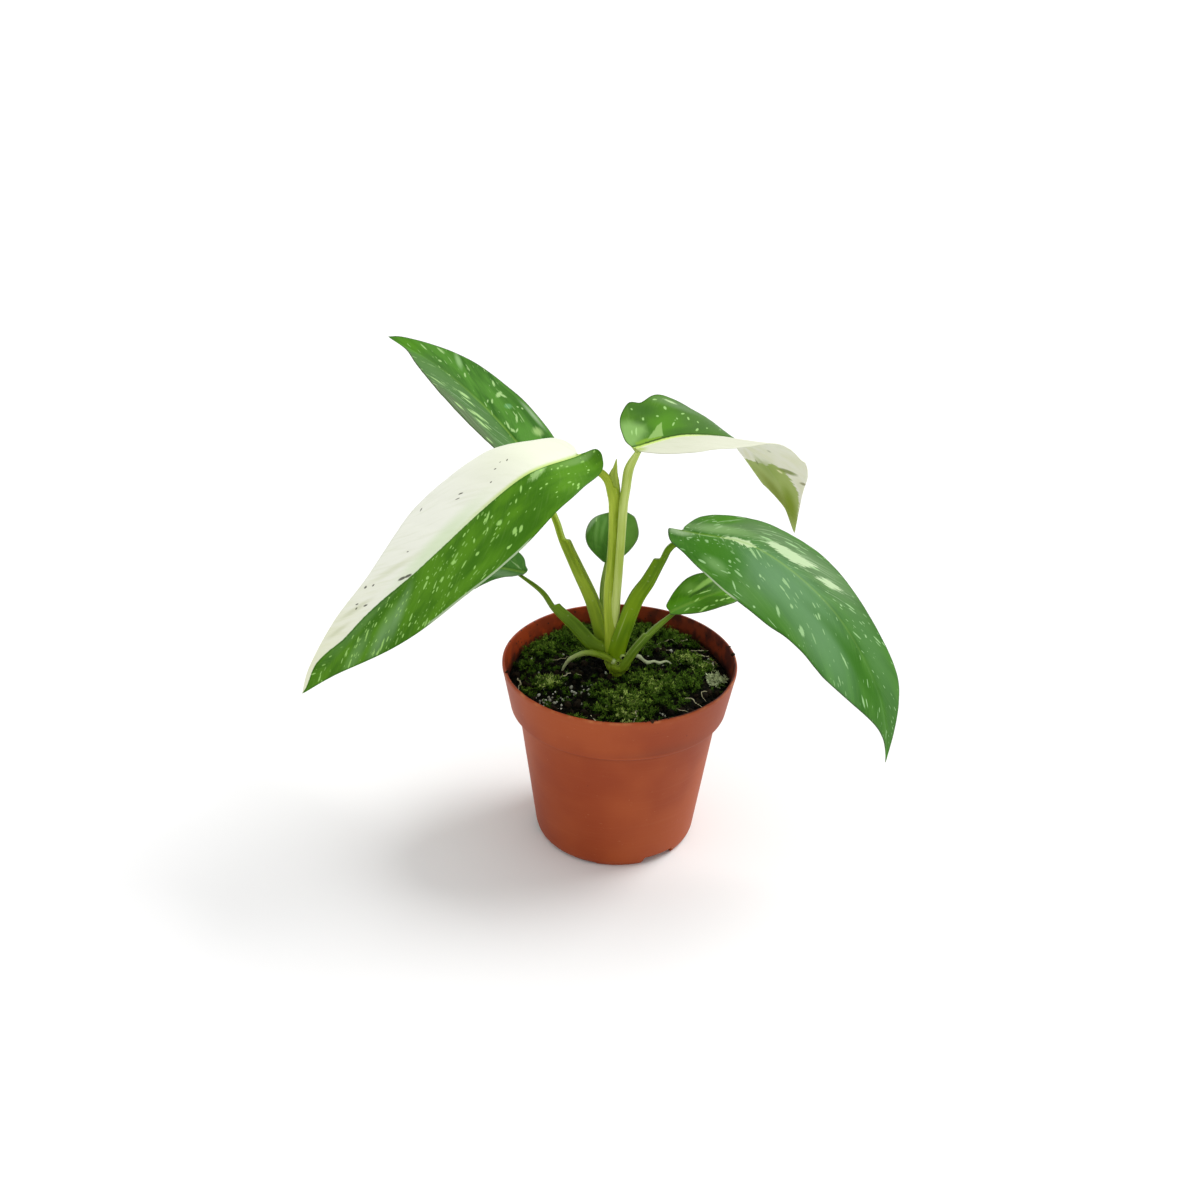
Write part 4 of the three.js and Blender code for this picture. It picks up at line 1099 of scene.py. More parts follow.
crown = {
    "x": -1,
    "outline": [(0.6, 80), (3.4, 81), (4.2, 93), (5.9, 96.2), (7, 99), (5.6, 102.6), (0.6, 105)],
    "rings": 90,
    "segments": 72,
    "scars": [(91.5, 0.5), (94.6, 0.35), (97.2, 0.3), (100.4, 0.35)],  # height and depth of the leaf scars
    "scarWidth": 0.35,
    "bumps": 0.07,
    "light": "#8eaa26",
    "dark": "#5f7812",
}
buds = [  # pale: how whitish the bud is. Its hole faces the given way, and painted shade darkens it
    {"at": (-3.3, -5, 102.3), "radius": 1.6, "hole": 0, "pale": 0.8, "facing": (-0.2, -0.8, 0.6)},
    {"at": (-1.1, -5.9, 101.6), "radius": 1.5, "hole": 0.9, "pale": 0.1, "facing": (0.1, -0.9, 0.45)},
    {"at": (1.4, -4.6, 104.8), "radius": 1.5, "hole": 1.1, "pale": 0.45, "facing": (0.25, -0.97, -0.1)},
]
budShape = {  # the hole sits in the dimple, and painted shade darkens it no further round the bud than the reach given
    "rings": 22, "segments": 32, "height": 0.9, "dimple": 0.9, "dimpleWidth": 0.42, "holeShadeReach": 1.2,
    "pale": "#b9c98c", "holeShade": "#0a0f03", "roughness": 0.5,
}
roots = {
    "left": {
        "path": [(-3, -3.5, 101), (-9, -6, 106), (-17, -7, 108), (-24.5, -5, 103.5), (-28, -2, 97),
                 (-30, 2, 89)],
        "radius": [1.9, 1.7, 1.4, 1.1, 0.7, 0.3], "light": "#95ac34", "dark": "#6b8716", "tip": 46,
    },
    "right": {
        "path": [(6, -2, 104.5), (9.5, -1.5, 103.6), (12, 0, 100.5), (14.5, 1, 98.6), (17.5, 2, 98.8),
                 (20.5, 4, 96.8), (24, 5.5, 97), (27, 8, 94)],
        "radius": [1, 1, 0.75, 0.9, 0.6, 0.75, 0.5, 0.3], "light": "#cfd3b4", "dark": "#a9b088", "tip": 8,
    },
}
rootShape = {"steps": 80, "sides": 22, "wobble": 0.3}


def latheMesh(outline, segments):  # radii and heights turned round the upright axis
    radius, height = np.asarray(outline, float).T[..., None]
    angle = 2 * np.pi * np.arange(segments) / segments
    rings = np.broadcast_arrays(radius * np.cos(angle), radius * np.sin(angle), height)
    return np.dstack(rings).reshape(-1, 3), ringFaces(len(radius), segments)


def makeCrown():
    segments = crown["segments"]
    points, faces = latheMesh(along(crown["outline"], np.linspace(0, 1, crown["rings"])), segments)
    z = points[:, 2]
    shape = np.ones(len(points))
    for height, depth in crown["scars"]:
        shape -= 0.1 * depth * np.exp(-(((z - height) / crown["scarWidth"]) ** 2))
    bumps = np.array([noise.noise(Vector(p) * 0.35) for p in points])
    points[:, :2] *= (shape * (1 + crown["bumps"] * bumps))[:, None]
    points[:, 0] += crown["x"]
    faces.append(tuple(range(segments))[::-1])
    faces.append(tuple(range(len(points) - segments, len(points))))
    turn = np.arctan2(points[:, 1], points[:, 0]) / (2 * np.pi)
    values = {"stalkPlace": np.column_stack([z - 60, turn, np.zeros(len(z))])}
    paint = paintStalk("crown", crown["light"], crown["dark"])
    makePiece("crown-stem", points * mm, faces, paint, ["crown"], values)


def makeBuds():  # round buds on the crown, some with a hole darkened by painted shade
    turn = np.linspace(0, math.pi, budShape["rings"])
    segments = budShape["segments"]
    balls, tints = [], []
    for bud in buds:
        radius, hole = bud["radius"], bud["hole"]
        dimple = budShape["dimple"] * np.exp(-((turn / budShape["dimpleWidth"]) ** 2)) * (hole > 0)
        rise = radius * (budShape["height"] * np.cos(turn) - dimple)
        ball, faces = latheMesh(np.column_stack([radius * np.sin(turn) + 0.001, rise]), segments)
        holeShade = 0 * turn
        # painted shade inside the dimple of a bud with a hole
        if hole:
            holeShade = smoothStep(radius * np.sin(turn), hole, 0.7 * hole) * (turn < budShape["holeShadeReach"])
        facing = np.array(Vector(bud["facing"]).to_track_quat("Z", "Y").to_matrix())
        balls.append((ball @ facing.T + np.array(bud["at"]), faces))
        pale = np.full(len(ball), bud["pale"])
        tints.append(np.column_stack([np.repeat(holeShade, segments), pale, 0 * pale]))
    points, faces = joined(balls)
    values = {"budTint": np.vstack(tints)}
    makePiece("crown-buds", points * mm, faces, paintBuds(), values=values)


def paintBuds():
    material, start = newPaint("buds")
    tint = attribute(start, "budTint")
    grain = cloud(millimetres(start), 0.6, 3)
    colour = blend(smooth(grain, 0.35, 0.65), crown["dark"], crown["light"])
    colour = blend(part(tint, 1) * smooth(grain, 0.25, 0.55), colour, budShape["pale"])
    # painted shade in the buds' holes
    colour = blend(part(tint, 0), colour, budShape["holeShade"])
    finishPaint(start, colour, budShape["roughness"], stalk["specular"])
    return material


def makeRoots():
    for name, root in roots.items():
        points, faces, places = tubeMesh(
            root["path"], root["radius"], rootShape["steps"], rootShape["sides"],
            wobble=rootShape["wobble"], seed=len(name))
        paint = paintStalk("root-" + name, root["light"], root["dark"], 0, root["tip"])
        makePiece("aerial-root-" + name, points * mm, faces, paint, ["root_" + name],
                  {"stalkPlace": places})


# Pot: turned in one piece with its foot notches, then the drain holes are cut

pot = {
    "height": 100, "rimRadius": 60, "collarRadius": 55.5, "collarBottom": 75.5, "shoulderRadius": 51.5,
    "shoulderHeight": 74.3, "bodyBottomRadius": 41.5, "bodyBottom": 3, "footRadius": 39.4, "footWidth": 2.2,
    "baseRadius": 24, "baseSlope": 3, "channelHeight": 4, "wall": 1.2, "innerStep": 3, "segments": 480,
    "waver": 0.12,  # how far the thin wall strays from round
    "sharpAngle": 38,  # between faces whose shading isn't smoothed
}
notches = {"count": 3, "deep": (-55, 26, 4.5), "slim": (-126, 46, 1.2), "slope": 2.2}  # middle, width, height
drainHoles = {
    "count": 6, "radius": 3, "circle": 32.5, "firstAngle": -55, "segments": 40, "level": 4.6, "depth": 4,
}
potLook = {
    # the darker inside colour is painted shade
    "body": "#92380a", "light": "#a14718", "inside": "#a23c10", "shadedInside": "#4e170c", "scuff": "#c9865a",
    "rimWear": "#c98a55", "dirt": "#140c07", "shade": "#6d260b", "roughness": 0.5, "specular": 0.28,
}


def innerRadius(height):  # of the wall, below or above the shoulder
    p = pot
    if height < p["collarBottom"]:
        low, high = (p["bodyBottom"], p["bodyBottomRadius"]), (p["shoulderHeight"], p["shoulderRadius"])
    else:
        low, high = (p["collarBottom"], p["collarRadius"]), (p["height"], p["rimRadius"])
    return low[1] + (high[1] - low[1]) * (height - low[0]) / (high[0] - low[0]) - p["wall"]


def rounded(corner, before, after, radius, steps=5):  # points that round a corner of an outline
    corner, before, after = (np.asarray(p, float) for p in (corner, before, after))
    start = corner + (before - corner) * min(1, radius / np.linalg.norm(before - corner))
    end = corner + (after - corner) * min(1, radius / np.linalg.norm(after - corner))
    t = np.linspace(0, 1, steps)[:, None]
    return (1 - t) ** 2 * start + 2 * t * (1 - t) * corner + t**2 * end


def potOutline():
    p = pot
    footInside, floorTop = p["footRadius"] - p["footWidth"], p["channelHeight"] + p["wall"]
    innerCollar, innerShoulder = p["collarBottom"] + p["innerStep"], p["shoulderHeight"] - 0.4
    corners = [  # radius, height and rounding, from under the middle round the wall to the floor inside
        (0.01, 0, 0), (p["baseRadius"], 0, 0.8), (p["baseRadius"] + p["baseSlope"], p["channelHeight"], 0.8),
        (footInside, p["channelHeight"], 0.5), (footInside + 0.2, 0, 0.4), (p["footRadius"], 0, 0.8),
        (p["bodyBottomRadius"], p["bodyBottom"], 2.4), (p["shoulderRadius"], p["shoulderHeight"], 1.2),
        (p["collarRadius"], p["collarBottom"], 0.9), (p["rimRadius"] - 0.4, p["height"] - 3.2, 1),
        (p["rimRadius"], p["height"] - 1.6, 0.8), (p["rimRadius"] - 0.1, p["height"], 0.55),
        (p["rimRadius"] - p["wall"] - 0.1, p["height"], 0.5), (innerRadius(innerCollar), innerCollar, 2),
        (innerRadius(innerShoulder), innerShoulder, 2), (innerRadius(floorTop), floorTop, 1.4),
        (p["baseRadius"] + p["baseSlope"] - 0.4, floorTop, 0.6), (p["baseRadius"] - 0.4, p["wall"], 0.6),
        (0.01, p["wall"], 0),
    ]
    outline = [np.array([corners[0][:2]])]
    for before, corner, after in zip(corners, corners[1:], corners[2:]):
        bend = rounded(corner[:2], before[:2], after[:2], corner[2])
        gap = np.linalg.norm(bend[0] - outline[-1][-1])
        between = np.linspace(0, 1, int(gap // 5) + 2)[1:-1, None]
        outline.append(outline[-1][-1] * (1 - between) + bend[0] * between)
        outline.append(bend)
    outline.append(np.array([corners[-1][:2]]))
    return np.vstack(outline)


def notchHeight(angle):  # of the foot's underside, angles in degrees
    height = np.zeros_like(angle)
    slope = notches["slope"]
    for i in range(notches["count"]):
        for middle, width, rise in (notches["deep"], notches["slim"]):
            off = np.abs((angle - middle - i * 360 / notches["count"] + 180) % 360 - 180)
            height = np.maximum(height, rise * smoothStep(width / 2 + slope / 2 - off, 0, slope))
    return height


def cutDrainHoles(piece):
    cutter = bmesh.new()
    size, circle = drainHoles["radius"] * mm, drainHoles["circle"]
    for i in range(drainHoles["count"]):
        at = math.radians(drainHoles["firstAngle"] + 360 * i / drainHoles["count"])
        middle = Vector((circle * math.cos(at), circle * math.sin(at), drainHoles["level"])) * mm
        bmesh.ops.create_cone(
            cutter, cap_ends=True, segments=drainHoles["segments"], radius1=size, radius2=size,
            depth=drainHoles["depth"] * mm, matrix=Matrix.Translation(middle))
    cutMesh = bpy.data.meshes.new("cutter")
    cutter.to_mesh(cutMesh)
    cutter.free()
    cutObject = bpy.data.objects.new("cutter", cutMesh)
    bpy.context.scene.collection.objects.link(cutObject)
    holes = piece.modifiers.new("holes", "BOOLEAN")
    holes.object = cutObject
    holes.operation = "DIFFERENCE"
    bpy.context.view_layer.update()
    cut = bpy.data.meshes.new_from_object(piece.evaluated_get(bpy.context.evaluated_depsgraph_get()))
    piece.modifiers.clear()
    piece.data = cut
    bpy.data.objects.remove(cutObject)
    cut.shade_smooth()
    cut.set_sharp_from_angle(angle=math.radians(pot["sharpAngle"]))


def makePot():
    points, faces = latheMesh(potOutline(), pot["segments"])
    angle = np.degrees(np.arctan2(points[:, 1], points[:, 0]))
    radius = np.hypot(points[:, 0], points[:, 1])
    inFoot = (radius > pot["footRadius"] - pot["footWidth"] - 0.3) & (points[:, 2] < 6) & (radius < 44)
    points[:, 2] = np.where(inFoot, np.maximum(points[:, 2], notchHeight(angle)), points[:, 2])
    high = smoothStep(points[:, 2], 20, 100)
    turn = np.radians(angle)
    stray = 0.6 * np.sin(2 * turn + 0.7) + 0.4 * np.sin(3 * turn + 2.1) + 0.25 * np.sin(7 * turn + 0.3)
    points[:, :2] *= (1 + pot["waver"] * high * stray / pot["rimRadius"])[:, None]
    keep, faces = weld(points * mm, faces)
    piece = makePiece("nursery-pot", points[keep] * mm, faces, paintPot(), ["pot"])
    cutDrainHoles(piece)


def paintPot():
    material, start = newPaint("terracotta-plastic")
    place = millimetres(start)
    x, _, z = (part(place, axis) for axis in range(3))
    radius = vectorSum("LENGTH", stretched(place, (1, 1, 0)), (0, 0, 0), out=1)
    wallLine = z * 0.17 + 41.9  # a radius between the collar's inner and outer faces at this height
    inside = smooth(radius - wallLine, 0.9, 0.3) * smooth(z, 76, 78)
    soft, fine = cloud(place, 0.02, 3), cloud(place, 1.6, 3, 0.6)
    turning = cloud(stretched(place, (0.02, 0.02, 0.9)), 1, 3, 0.6)
    scuffs = cloud(stretched(place, (0.35, 0.35, 0.9)), 1, 4, 0.65)
    colour = blend(smooth(soft, 0.35, 0.65), potLook["body"], potLook["light"])
    colour = blend(smooth(turning, 0.5, 0.8) * 0.05, colour, potLook["scuff"])
    colour = blend(smooth(scuffs, 0.66, 0.74) * 0.35, colour, potLook["scuff"])
    chips = dotted(cells(place, 0.09), (0.05, 0.028), (0.72, 0.76))
    colour = blend(chips * 0.7, colour, potLook["scuff"])
    specks = dotted(cells(place, 0.13), (0.05, 0.03), (0.8, 0.84), 1)
    colour = blend(specks * 0.75, colour, potLook["dirt"])
    rimWear = smooth(z, 98.2, 99.7) * smooth(cloud(place, 0.12, 2), 0.45, 0.7)
    colour = blend(rimWear * 0.45, colour, potLook["rimWear"])
    underCollar = smooth(z, 71, 75) * smooth(z, 76.2, 75.6) * 0.5
    colour = blend(underCollar, colour, potLook["shade"])
    # below a ragged line under the rim, the inner wall is painted near black down to the soil
    darkBelowRim = smooth(z + cloud(place, 0.3, 3) * 9, 98.5, 93.5)
    # painted shade darkens the inner wall towards the right, and random patches darken it as its own tone
    insideShadeAndTone = smooth(x, -18, 34) * 0.55 + smooth(cloud(place, 0.11, 3), 0.42, 0.6) * 0.45
    within = blend(insideShadeAndTone, potLook["inside"], potLook["shadedInside"])
    within = blend(darkBelowRim * 0.85, within, potLook["dirt"])
    spatter = dotted(cells(place, 0.5), (0.35, 0.2), (0.8, 0.85), 2)
    within = blend(spatter * 0.8, within, potLook["dirt"])
    colour = blend(inside, colour, within)
    roughness = potLook["roughness"] + 0.1 * (fine - 0.5) + 0.08 * soft
    height = fine * 0.5 + turning * 0.15 + scuffs * 0.4
    finishPaint(start, colour, roughness, potLook["specular"], height, 0.35, 0.1)
    return material


# Potting soil, with moss, grit, crumbs and fine root threads on it

soil = {
    "edgeLevel": 88.5, "middleLevel": 92, "mounds": 0.9, "edge": 56.2, "rings": 100, "segments": 230,
    "lumps": 0.9, "grain": 0.5, "seed": 7,
    "side": [(54.3, 78.5), (50, 73.6), (40.5, 7), (39, 5.6), (26.2, 5.6), (23.2, 1.6), (0.01, 1.6)],
    "dark": "#030402", "light": "#15140c", "fibre": "#35301f", "green": "#0e1806",
    "roughness": 0.95, "specular": 0.06,
}
mossClumps = [  # place, radius, lift and brightness of each clump, in millimetres; brightness sets how much painted highlight its tips get
    (-41, 26, 13, 1.6, 0.45), (-26, 41, 14, 1.8, 0.35), (-6, 48, 12, 1.6, 0.3), (14, 47, 12, 1.8, 0.35),
    (30, 43, 10, 2.6, 0.4), (33, 15, 8, 2.4, 1.1), (41, 11, 6, 2, 1), (3, -29, 16, 1.6, 0.65),
    (21, -14, 13, 1.8, 0.65), (11, -5, 9, 1.4, 0.5), (-36, -11, 7, 2.2, 1), (5, -44, 7, 1.8, 1.1),
    (-9, -22, 8, 1.2, 0.45), (34, -8, 7, 1.5, 0.4), (-46, 8, 6, 1.2, 0.3), (12, 26, 9, 1.5, 0.35),
    (-22, 18, 9, 1.2, 0.25), (-20, -46, 5, 1.2, 0.4), (-48, -20, 4, 1, 0.3),
]
moss = {
    "shoots": 2000, "whorls": 3, "leaflets": 5, "height": (1.8, 5.4), "leaflet": (1.6, 2.9), "width": 0.62,
    "ridge": 0.12, "lean": 0.45, "stemGap": 6, "clumpEdge": 1.4,
    "tuft": (49.5, -1, 4.6), "tuftShoots": 34,  # a pale tuft: its place, spread and shoots
    # dark is painted shade at the shoots' base; the tip and bright colours are lighter tips, partly their own
    # colour and partly painted highlight
    "dark": "#040802", "mid": "#3f5e16", "tip": "#9cbb4c", "bright": "#d0df88", "pale": "#b9c398",
    "roughness": 0.75, "specular": 0.04,
}
crumbs = {"count": 900, "size": (0.45, 1.8), "smallness": 2.2, "raised": 0.35, "thickestMoss": 0.9}
grit = {  # places, spread and count of the pale grit
    "spots": [(-25, -18, 8, 13), (-29, -27, 10, 20), (-18, -15, 6, 5), (-38, -28, 7, 8), (24, -38, 9, 6),
              (47, 18, 9, 7), (40, 36, 9, 6), (-42, -22, 5, 5), (20, -46, 7, 5)],
    "loose": 34, "size": (0.35, 0.95), "smallness": 1.6, "raised": 0.5,
}
pebble = {"detail": 2, "lumps": 0.32, "leastStretch": 0.6, "stretch": 0.7}
grainLooks = {  # dark and light colour, and roughness
    "crumbs": ("#050503", "#241c12", 0.9),
    "rimCrumbs": ("#2a1c12", "#3c2a1c", 0.9),
    "grit": ("#9a9c8c", "#d3d5c8", 0.8),
    "threads": ("#8a8264", "#d8d2ae", 0.7),
    "twigs": ("#3a2a1c", "#7a6450", 0.85),
}
threads = [  # corner places over the soil, and the radius
    ([(12, 24), (16, 27), (22, 24), (27, 26)], 0.35), ([(32, -20), (36, -22), (42, -27)], 0.3),
    ([(-52, -4), (-50, -10), (-51, -14)], 0.3), ([(7, -50), (9, -38), (10, -35)], 0.3),
    ([(-38, 14), (-30, 12), (-24, 14)], 0.25), ([(-30, -6), (-26, -3), (-20, -4)], 0.3),
    ([(38, 30), (44, 28), (48, 32)], 0.25), ([(30, 34), (36, 38), (34, 44)], 0.25),
    ([(44, 18), (49, 12), (48, 6)], 0.3), ([(46, -12), (42, -16), (44, -22)], 0.25),
    ([(-14, -40), (-10, -46), (-4, -47)], 0.2), ([(20, 34), (26, 36), (31, 33)], 0.25),
    ([(26, -30), (30, -33), (35, -32)], 0.25), ([(48, 24), (44, 22), (40, 25)], 0.25),
]
sticks = [  # ends over the soil, and the radius
    ((38, 41), (46, 30), 0.7), ((27, 45), (36, 39), 0.6), ((-50, 18), (-44, 24), 0.5),
    ((26, -42), (36, -38), 0.6), ((47, 22), (52, 14), 0.5),
]
strandShapes = {"threads": (30, 0.2), "twigs": (20, 0.4)}  # steps along one, and its wobble
rimCrumbs = [  # places on the pot's rim, and sizes
    (-56.9, -15, 0.8), (58.4, 9, 0.9), (16, -57, 1), (18.5, -56.2, 0.6), (13, -57.8, 0.5), (57, 17, 0.6),
    (30, 51, 0.7), (-57, 16, 0.5), (24, -54, 0.5),
]


def bumpy(x, y, scale, seed):  # smooth noise over the plane
    places = zip(np.ravel(x) * scale, np.ravel(y) * scale)
    return np.array([noise.noise(Vector((a, b, seed))) for a, b in places])


def mossLift(x, y):  # thickness of the moss bed, and its brightness, which sets the painted highlight on the tips
    lift, bright = np.zeros_like(x), np.zeros_like(x)
    for atX, atY, radius, high, shine in mossClumps:
        near = np.exp(-(((x - atX) ** 2 + (y - atY) ** 2) / radius**2) ** moss["clumpEdge"])
        lift = np.maximum(lift, high * near)
        bright = np.maximum(bright, shine * near)
    return lift, bright


def soilLevel(x, y):
    x, y = np.ravel(x).astype(float), np.ravel(y).astype(float)
    share = np.minimum(1, np.hypot(x, y) / soil["edge"])
    level = soil["edgeLevel"] + (soil["middleLevel"] - soil["edgeLevel"]) * (1 - share**2)
    # slow swells over the whole surface, which end at the pot's wall
    broad = np.sin(0.21 * x + 0.6) * np.cos(0.17 * y - 0.4) + 0.6 * np.sin(0.33 * x - 0.29 * y + 1.1)
    level += soil["mounds"] * broad * (1 - share**4)
    rough = soil["lumps"] * bumpy(x, y, 0.24, 3) + soil["grain"] * bumpy(x, y, 0.75, 9)
    return level + rough * (1 - 0.5 * share**8) + 0.5 * mossLift(x, y)[0]


def makeBed():
    wide = soil["segments"]
    radii = soil["edge"] * (np.arange(1, soil["rings"] + 1) / soil["rings"]) ** 0.85
    angle = 2 * np.pi * np.arange(wide) / wide
    x, y = np.outer(radii, np.cos(angle)).ravel(), np.outer(radii, np.sin(angle)).ravel()
    side = latheMesh(soil["side"], wide)[0]
    points = np.vstack([np.column_stack([x, y, soilLevel(x, y)]), side])
    faces = [(a, d, c, b) for a, b, c, d in ringFaces(len(points) // wide, wide)]
    points = np.vstack([points, [0, 0, soilLevel([0], [0])[0]]])
    faces += [(len(points) - 1, k, (k + 1) % wide) for k in range(wide)]
    lift = mossLift(points[:, 0], points[:, 1])[0] / 2
    makePiece("soil-bed", points * mm, faces, paintSoil(), ["soil"], {"moss": lift})


def spinBasis(rng, count):  # random turned axes
    turned = rng.normal(size=(count, 3, 3))
    first = unit(turned[:, 0])
    second = squareTo(turned[:, 1], first)
    return np.stack([first, second, np.cross(first, second)], axis=1)


def makePebbles(name, look, rng, centres, sizes):  # lumpy grains round centres
    ball = bmesh.new()
    bmesh.ops.create_icosphere(ball, subdivisions=pebble["detail"], radius=1)
    shape = np.array([v.co for v in ball.verts])
    corners = np.array([[v.index for v in f.verts] for f in ball.faces])
    ball.free()
    count = len(centres)
    lumps = 1 + pebble["lumps"] * (rng.random((count, len(shape))) - 0.5)
    stretch = pebble["leastStretch"] + pebble["stretch"] * rng.random((count, 1, 3))
    body = shape[None] * lumps[..., None] * stretch
    body = np.einsum("nvi,nij->nvj", body, spinBasis(rng, count)) * sizes[:, None, None]
    points = (body + centres[:, None]).reshape(-1, 3)
    faces = (corners[None] + (np.arange(count) * len(shape))[:, None, None]).reshape(-1, 3)
    values = {"tint": np.repeat(rng.random(count), len(shape))}
    makePiece(name, points * mm, faces, paintGrain(look), values=values, smoothShade=False)


def scattered(rng, count, reach):  # places evenly spread over a disc
    radius, angle = reach * np.sqrt(rng.random(count)), 2 * np.pi * rng.random(count)
    return radius * np.cos(angle), radius * np.sin(angle)


def between(limits, share):
    low, high = limits
    return low + (high - low) * share


def makeCrumbs():
    rng = np.random.default_rng(soil["seed"])
    x, y = scattered(rng, crumbs["count"], soil["edge"] - 1)
    size = between(crumbs["size"], rng.random(len(x)) ** crumbs["smallness"])
    keep = mossLift(x, y)[0] < crumbs["thickestMoss"]
    x, y, size = x[keep], y[keep], size[keep]
    centres = np.column_stack([x, y, soilLevel(x, y) + crumbs["raised"] * size])
    makePebbles("soil-crumbs", "crumbs", rng, centres, size)
    x, y, size = np.array(rimCrumbs).T
    centres = np.column_stack([x, y, np.full(len(x), pot["height"] + 0.1)])
    makePebbles("rim-crumbs", "rimCrumbs", rng, centres, size)


def makeGrit():
    rng = np.random.default_rng(soil["seed"] + 1)
    x, y = scattered(rng, grit["loose"], soil["edge"] - 3)
    for atX, atY, spread, count in grit["spots"]:
        x = np.append(x, atX + spread * 0.5 * rng.normal(size=count))
        y = np.append(y, atY + spread * 0.5 * rng.normal(size=count))
    keep = np.hypot(x, y) < soil["edge"] - 1
    x, y = x[keep], y[keep]
    size = between(grit["size"], rng.random(len(x)) ** grit["smallness"])
    centres = np.column_stack([x, y, soilLevel(x, y) + grit["raised"] * size])
    makePebbles("soil-grit", "grit", rng, centres, size)


def mossPlaces(rng):  # where the shoots stand, with the moss's thickness, brightness and paleness there
    x, y = scattered(rng, moss["shoots"] * 8, soil["edge"] - 1.5)
    lift, bright = mossLift(x, y)
    offStem = np.hypot(x - crown["x"], y) > moss["stemGap"]
    gaps = bumpy(x, y, 0.16, 21) + 0.6 * bumpy(x, y, 0.4, 5)  # dark gaps stay open between the shoots
    keep = (rng.random(len(x)) < smoothStep(lift + 1.6 * gaps, 0.2, 1.5)) & offStem
    x, y, lift, bright = (values[keep][:moss["shoots"]] for values in (x, y, lift, bright))
    atX, atY, spread = moss["tuft"]
    tuftX, tuftY = scattered(rng, moss["tuftShoots"], spread)
    bright = bright * (0.2 + 1.3 * rng.random(len(bright)) ** 1.5)
    tuft = np.ones(len(tuftX))
    pale = np.append(np.zeros(len(x)), tuft)
    x, y = np.append(x, atX + tuftX), np.append(y, atY + tuftY)
    return x, y, np.append(lift, 1.6 * tuft), np.append(bright, 0.8 * tuft), pale


def makeMoss():
    rng = np.random.default_rng(soil["seed"] + 2)
    x, y, lift, bright, pale = mossPlaces(rng)
    count, whorls, leaflets = len(x), moss["whorls"], moss["leaflets"]
    foot = np.column_stack([x, y, soilLevel(x, y) - 0.4])
    lean = unit(np.column_stack([moss["lean"] * rng.normal(size=(count, 2)), np.ones(count)]))
    tall = between(moss["height"], rng.random(count)) * (0.6 + 0.4 * np.minimum(1, lift))
    ahead = squareTo(spinBasis(rng, count)[:, 0], lean)
    aside = np.cross(lean, ahead)
    points, places = [], []
    for whorl in range(whorls):
        share = (whorl + 0.6) / whorls
        centre = foot + lean * (tall * share)[:, None]
        for k in range(leaflets):
            turn = 2 * np.pi * (k / leaflets + 0.37 * whorl) + 0.5 * rng.normal(size=count)
            out = ahead * np.cos(turn)[:, None] + aside * np.sin(turn)[:, None]
            rise = 0.15 + 0.9 * share + 0.2 * rng.normal(size=count)
            heading = unit(out + lean * rise[:, None])
            flank = np.cross(heading, lean)
            long = between(moss["leaflet"], rng.random(count)) * (1.05 - 0.35 * share)
            middle = centre + heading * (0.4 * long)[:, None]
            half = flank * moss["width"] / 2
            ridge = np.cross(flank, heading) * moss["ridge"]
            corners = [centre, middle + half, middle - half, middle - ridge, centre + heading * long[:, None]]
            points.append(np.stack(corners, axis=1))
            heights = np.array([share - 0.25, share, share, share, share + 0.3])
            places.append(np.stack(np.broadcast_arrays(heights, bright[:, None], pale[:, None]), axis=2))
    points = np.concatenate(points).reshape(-1, 3)
    values = {"mossPlace": np.concatenate(places).reshape(-1, 3)}
    wedge = np.array([(0, 1, 4), (0, 4, 2), (0, 3, 1), (0, 2, 3), (1, 3, 4), (3, 2, 4)])
    faces = (wedge[None] + (np.arange(len(points) // 5) * 5)[:, None, None]).reshape(-1, 3)
    makePiece("soil-moss", points * mm, faces, paintMoss(), values=values, smoothShade=False)


def makeStrands(name, look, strands):  # thin tubes: each one's path, radii and shade
    steps, wobble = strandShapes[look]
    meshes, tints, total = [], [], 0
    for path, radii, shade in strands:
        points, faces, _ = tubeMesh(path, radii, steps, 8, wobble=wobble, seed=total)
        meshes.append((points, faces))
        tints.append(np.full(len(points), shade))
        total += len(points)
    points, faces = joined(meshes)
    values = {"tint": np.concatenate(tints)}
    makePiece(name, points * mm, faces, paintGrain(look), values=values)


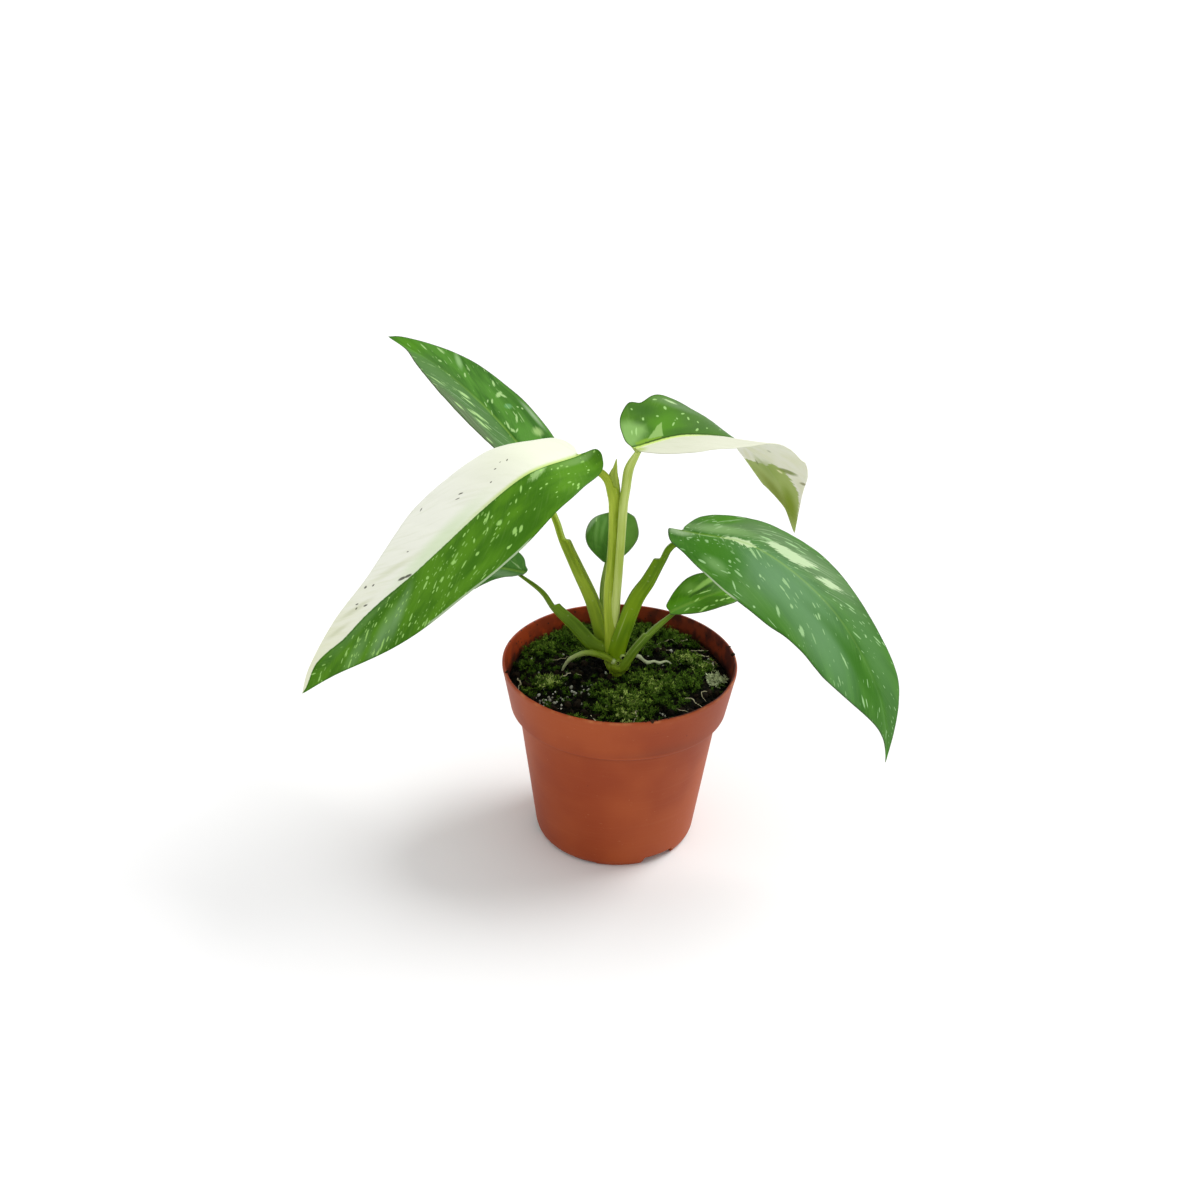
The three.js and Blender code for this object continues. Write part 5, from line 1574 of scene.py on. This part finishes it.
def makeThreads():
    rng = np.random.default_rng(soil["seed"] + 3)
    strands = []
    for corners, radius in threads:
        line = along(corners, np.linspace(0, 1, 9))
        level = soilLevel(line[:, 0], line[:, 1]) + radius + 0.5 + 0.8 * np.sin(np.linspace(0, math.pi, 9))
        path = np.column_stack([line + 0.4 * rng.normal(size=line.shape), level])
        strands.append((path, [radius, radius, 0.7 * radius, 0.4 * radius], 0.4 + 0.6 * rng.random()))
    makeStrands("root-threads", "threads", strands)
    strands = []
    for first, last, radius in sticks:
        line = np.linspace(first, last, 6) + 0.3 * rng.normal(size=(6, 2))
        path = np.column_stack([line, soilLevel(line[:, 0], line[:, 1]) + radius + 0.3])
        strands.append((path, [radius, 1.2 * radius, 0.8 * radius], rng.random()))
    makeStrands("soil-twigs", "twigs", strands)


def paintSoil():
    material, start = newPaint("peat")
    place = millimetres(start)
    lumps, fibre = cloud(place, 0.5, 4, 0.7), cells(place, 0.8)
    colour = blend(smooth(lumps, 0.4, 0.75), soil["dark"], soil["light"])
    colour = blend(smooth(part(fibre.beside(1), 0), 0.85, 0.97) * 0.4, colour, soil["fibre"])
    greenery = attribute(start, "moss", 2) * smooth(cloud(place, 0.3, 3), 0.35, 0.6)
    colour = blend(smooth(greenery, 0.1, 0.5) * 0.8, colour, soil["green"])
    finishPaint(start, colour, soil["roughness"], soil["specular"], lumps + 0.5 * fibre, 0.9, 0.8)
    return material


def paintGrain(name):
    dark, light, roughness = grainLooks[name]
    material, start = newPaint(name)
    grain = cloud(millimetres(start), 2.2, 3, 0.6)
    tint = attribute(start, "tint", 2)
    colour = blend(smooth(tint + (grain - 0.5) * 0.8, 0.15, 0.95), dark, light)
    finishPaint(start, colour, roughness, 0.1, grain, 0.5, 0.2)
    return material


def paintMoss():
    material, start = newPaint("moss")
    place = attribute(start, "mossPlace")
    high, bright, pale = (part(place, axis) for axis in range(3))
    patch = cloud(millimetres(start), 0.12, 2)
    # painted shade: each leaflet darkens to near black towards the shoot's base
    colour = blend(smooth(high, 0.05, 0.8), moss["dark"], moss["mid"])
    # lighter tips, partly their own colour and partly painted highlight
    colour = blend(smooth(high + bright * 0.7, 0.9, 1.5) * smooth(patch, 0.3, 0.6), colour, moss["tip"])
    # painted highlight on the tips of bright clumps
    colour = blend(smooth(high * bright, 0.5, 0.95) * 0.8, colour, moss["bright"])
    colour = blend(pale, colour, moss["pale"])
    finishPaint(start, colour, moss["roughness"], moss["specular"])
    return material


makeCamera()
makeStudio()
print("studio made")
for name, form in leafForms.items():
    makeBlade(name, form, paintLeaf(name, form, leafLooks[name]))
print("blades made")
for name, look in stalks.items():
    makeStalk(name, paintStalk(name, look["light"], look["dark"]))
print("petioles made")
makeCrown()
makeBuds()
makeSpike()
makeRoots()
print("crown and roots made")
makePot()
print("pot made")
makeBed()
makeCrumbs()
makeGrit()
makeMoss()
makeThreads()
print("soil made")
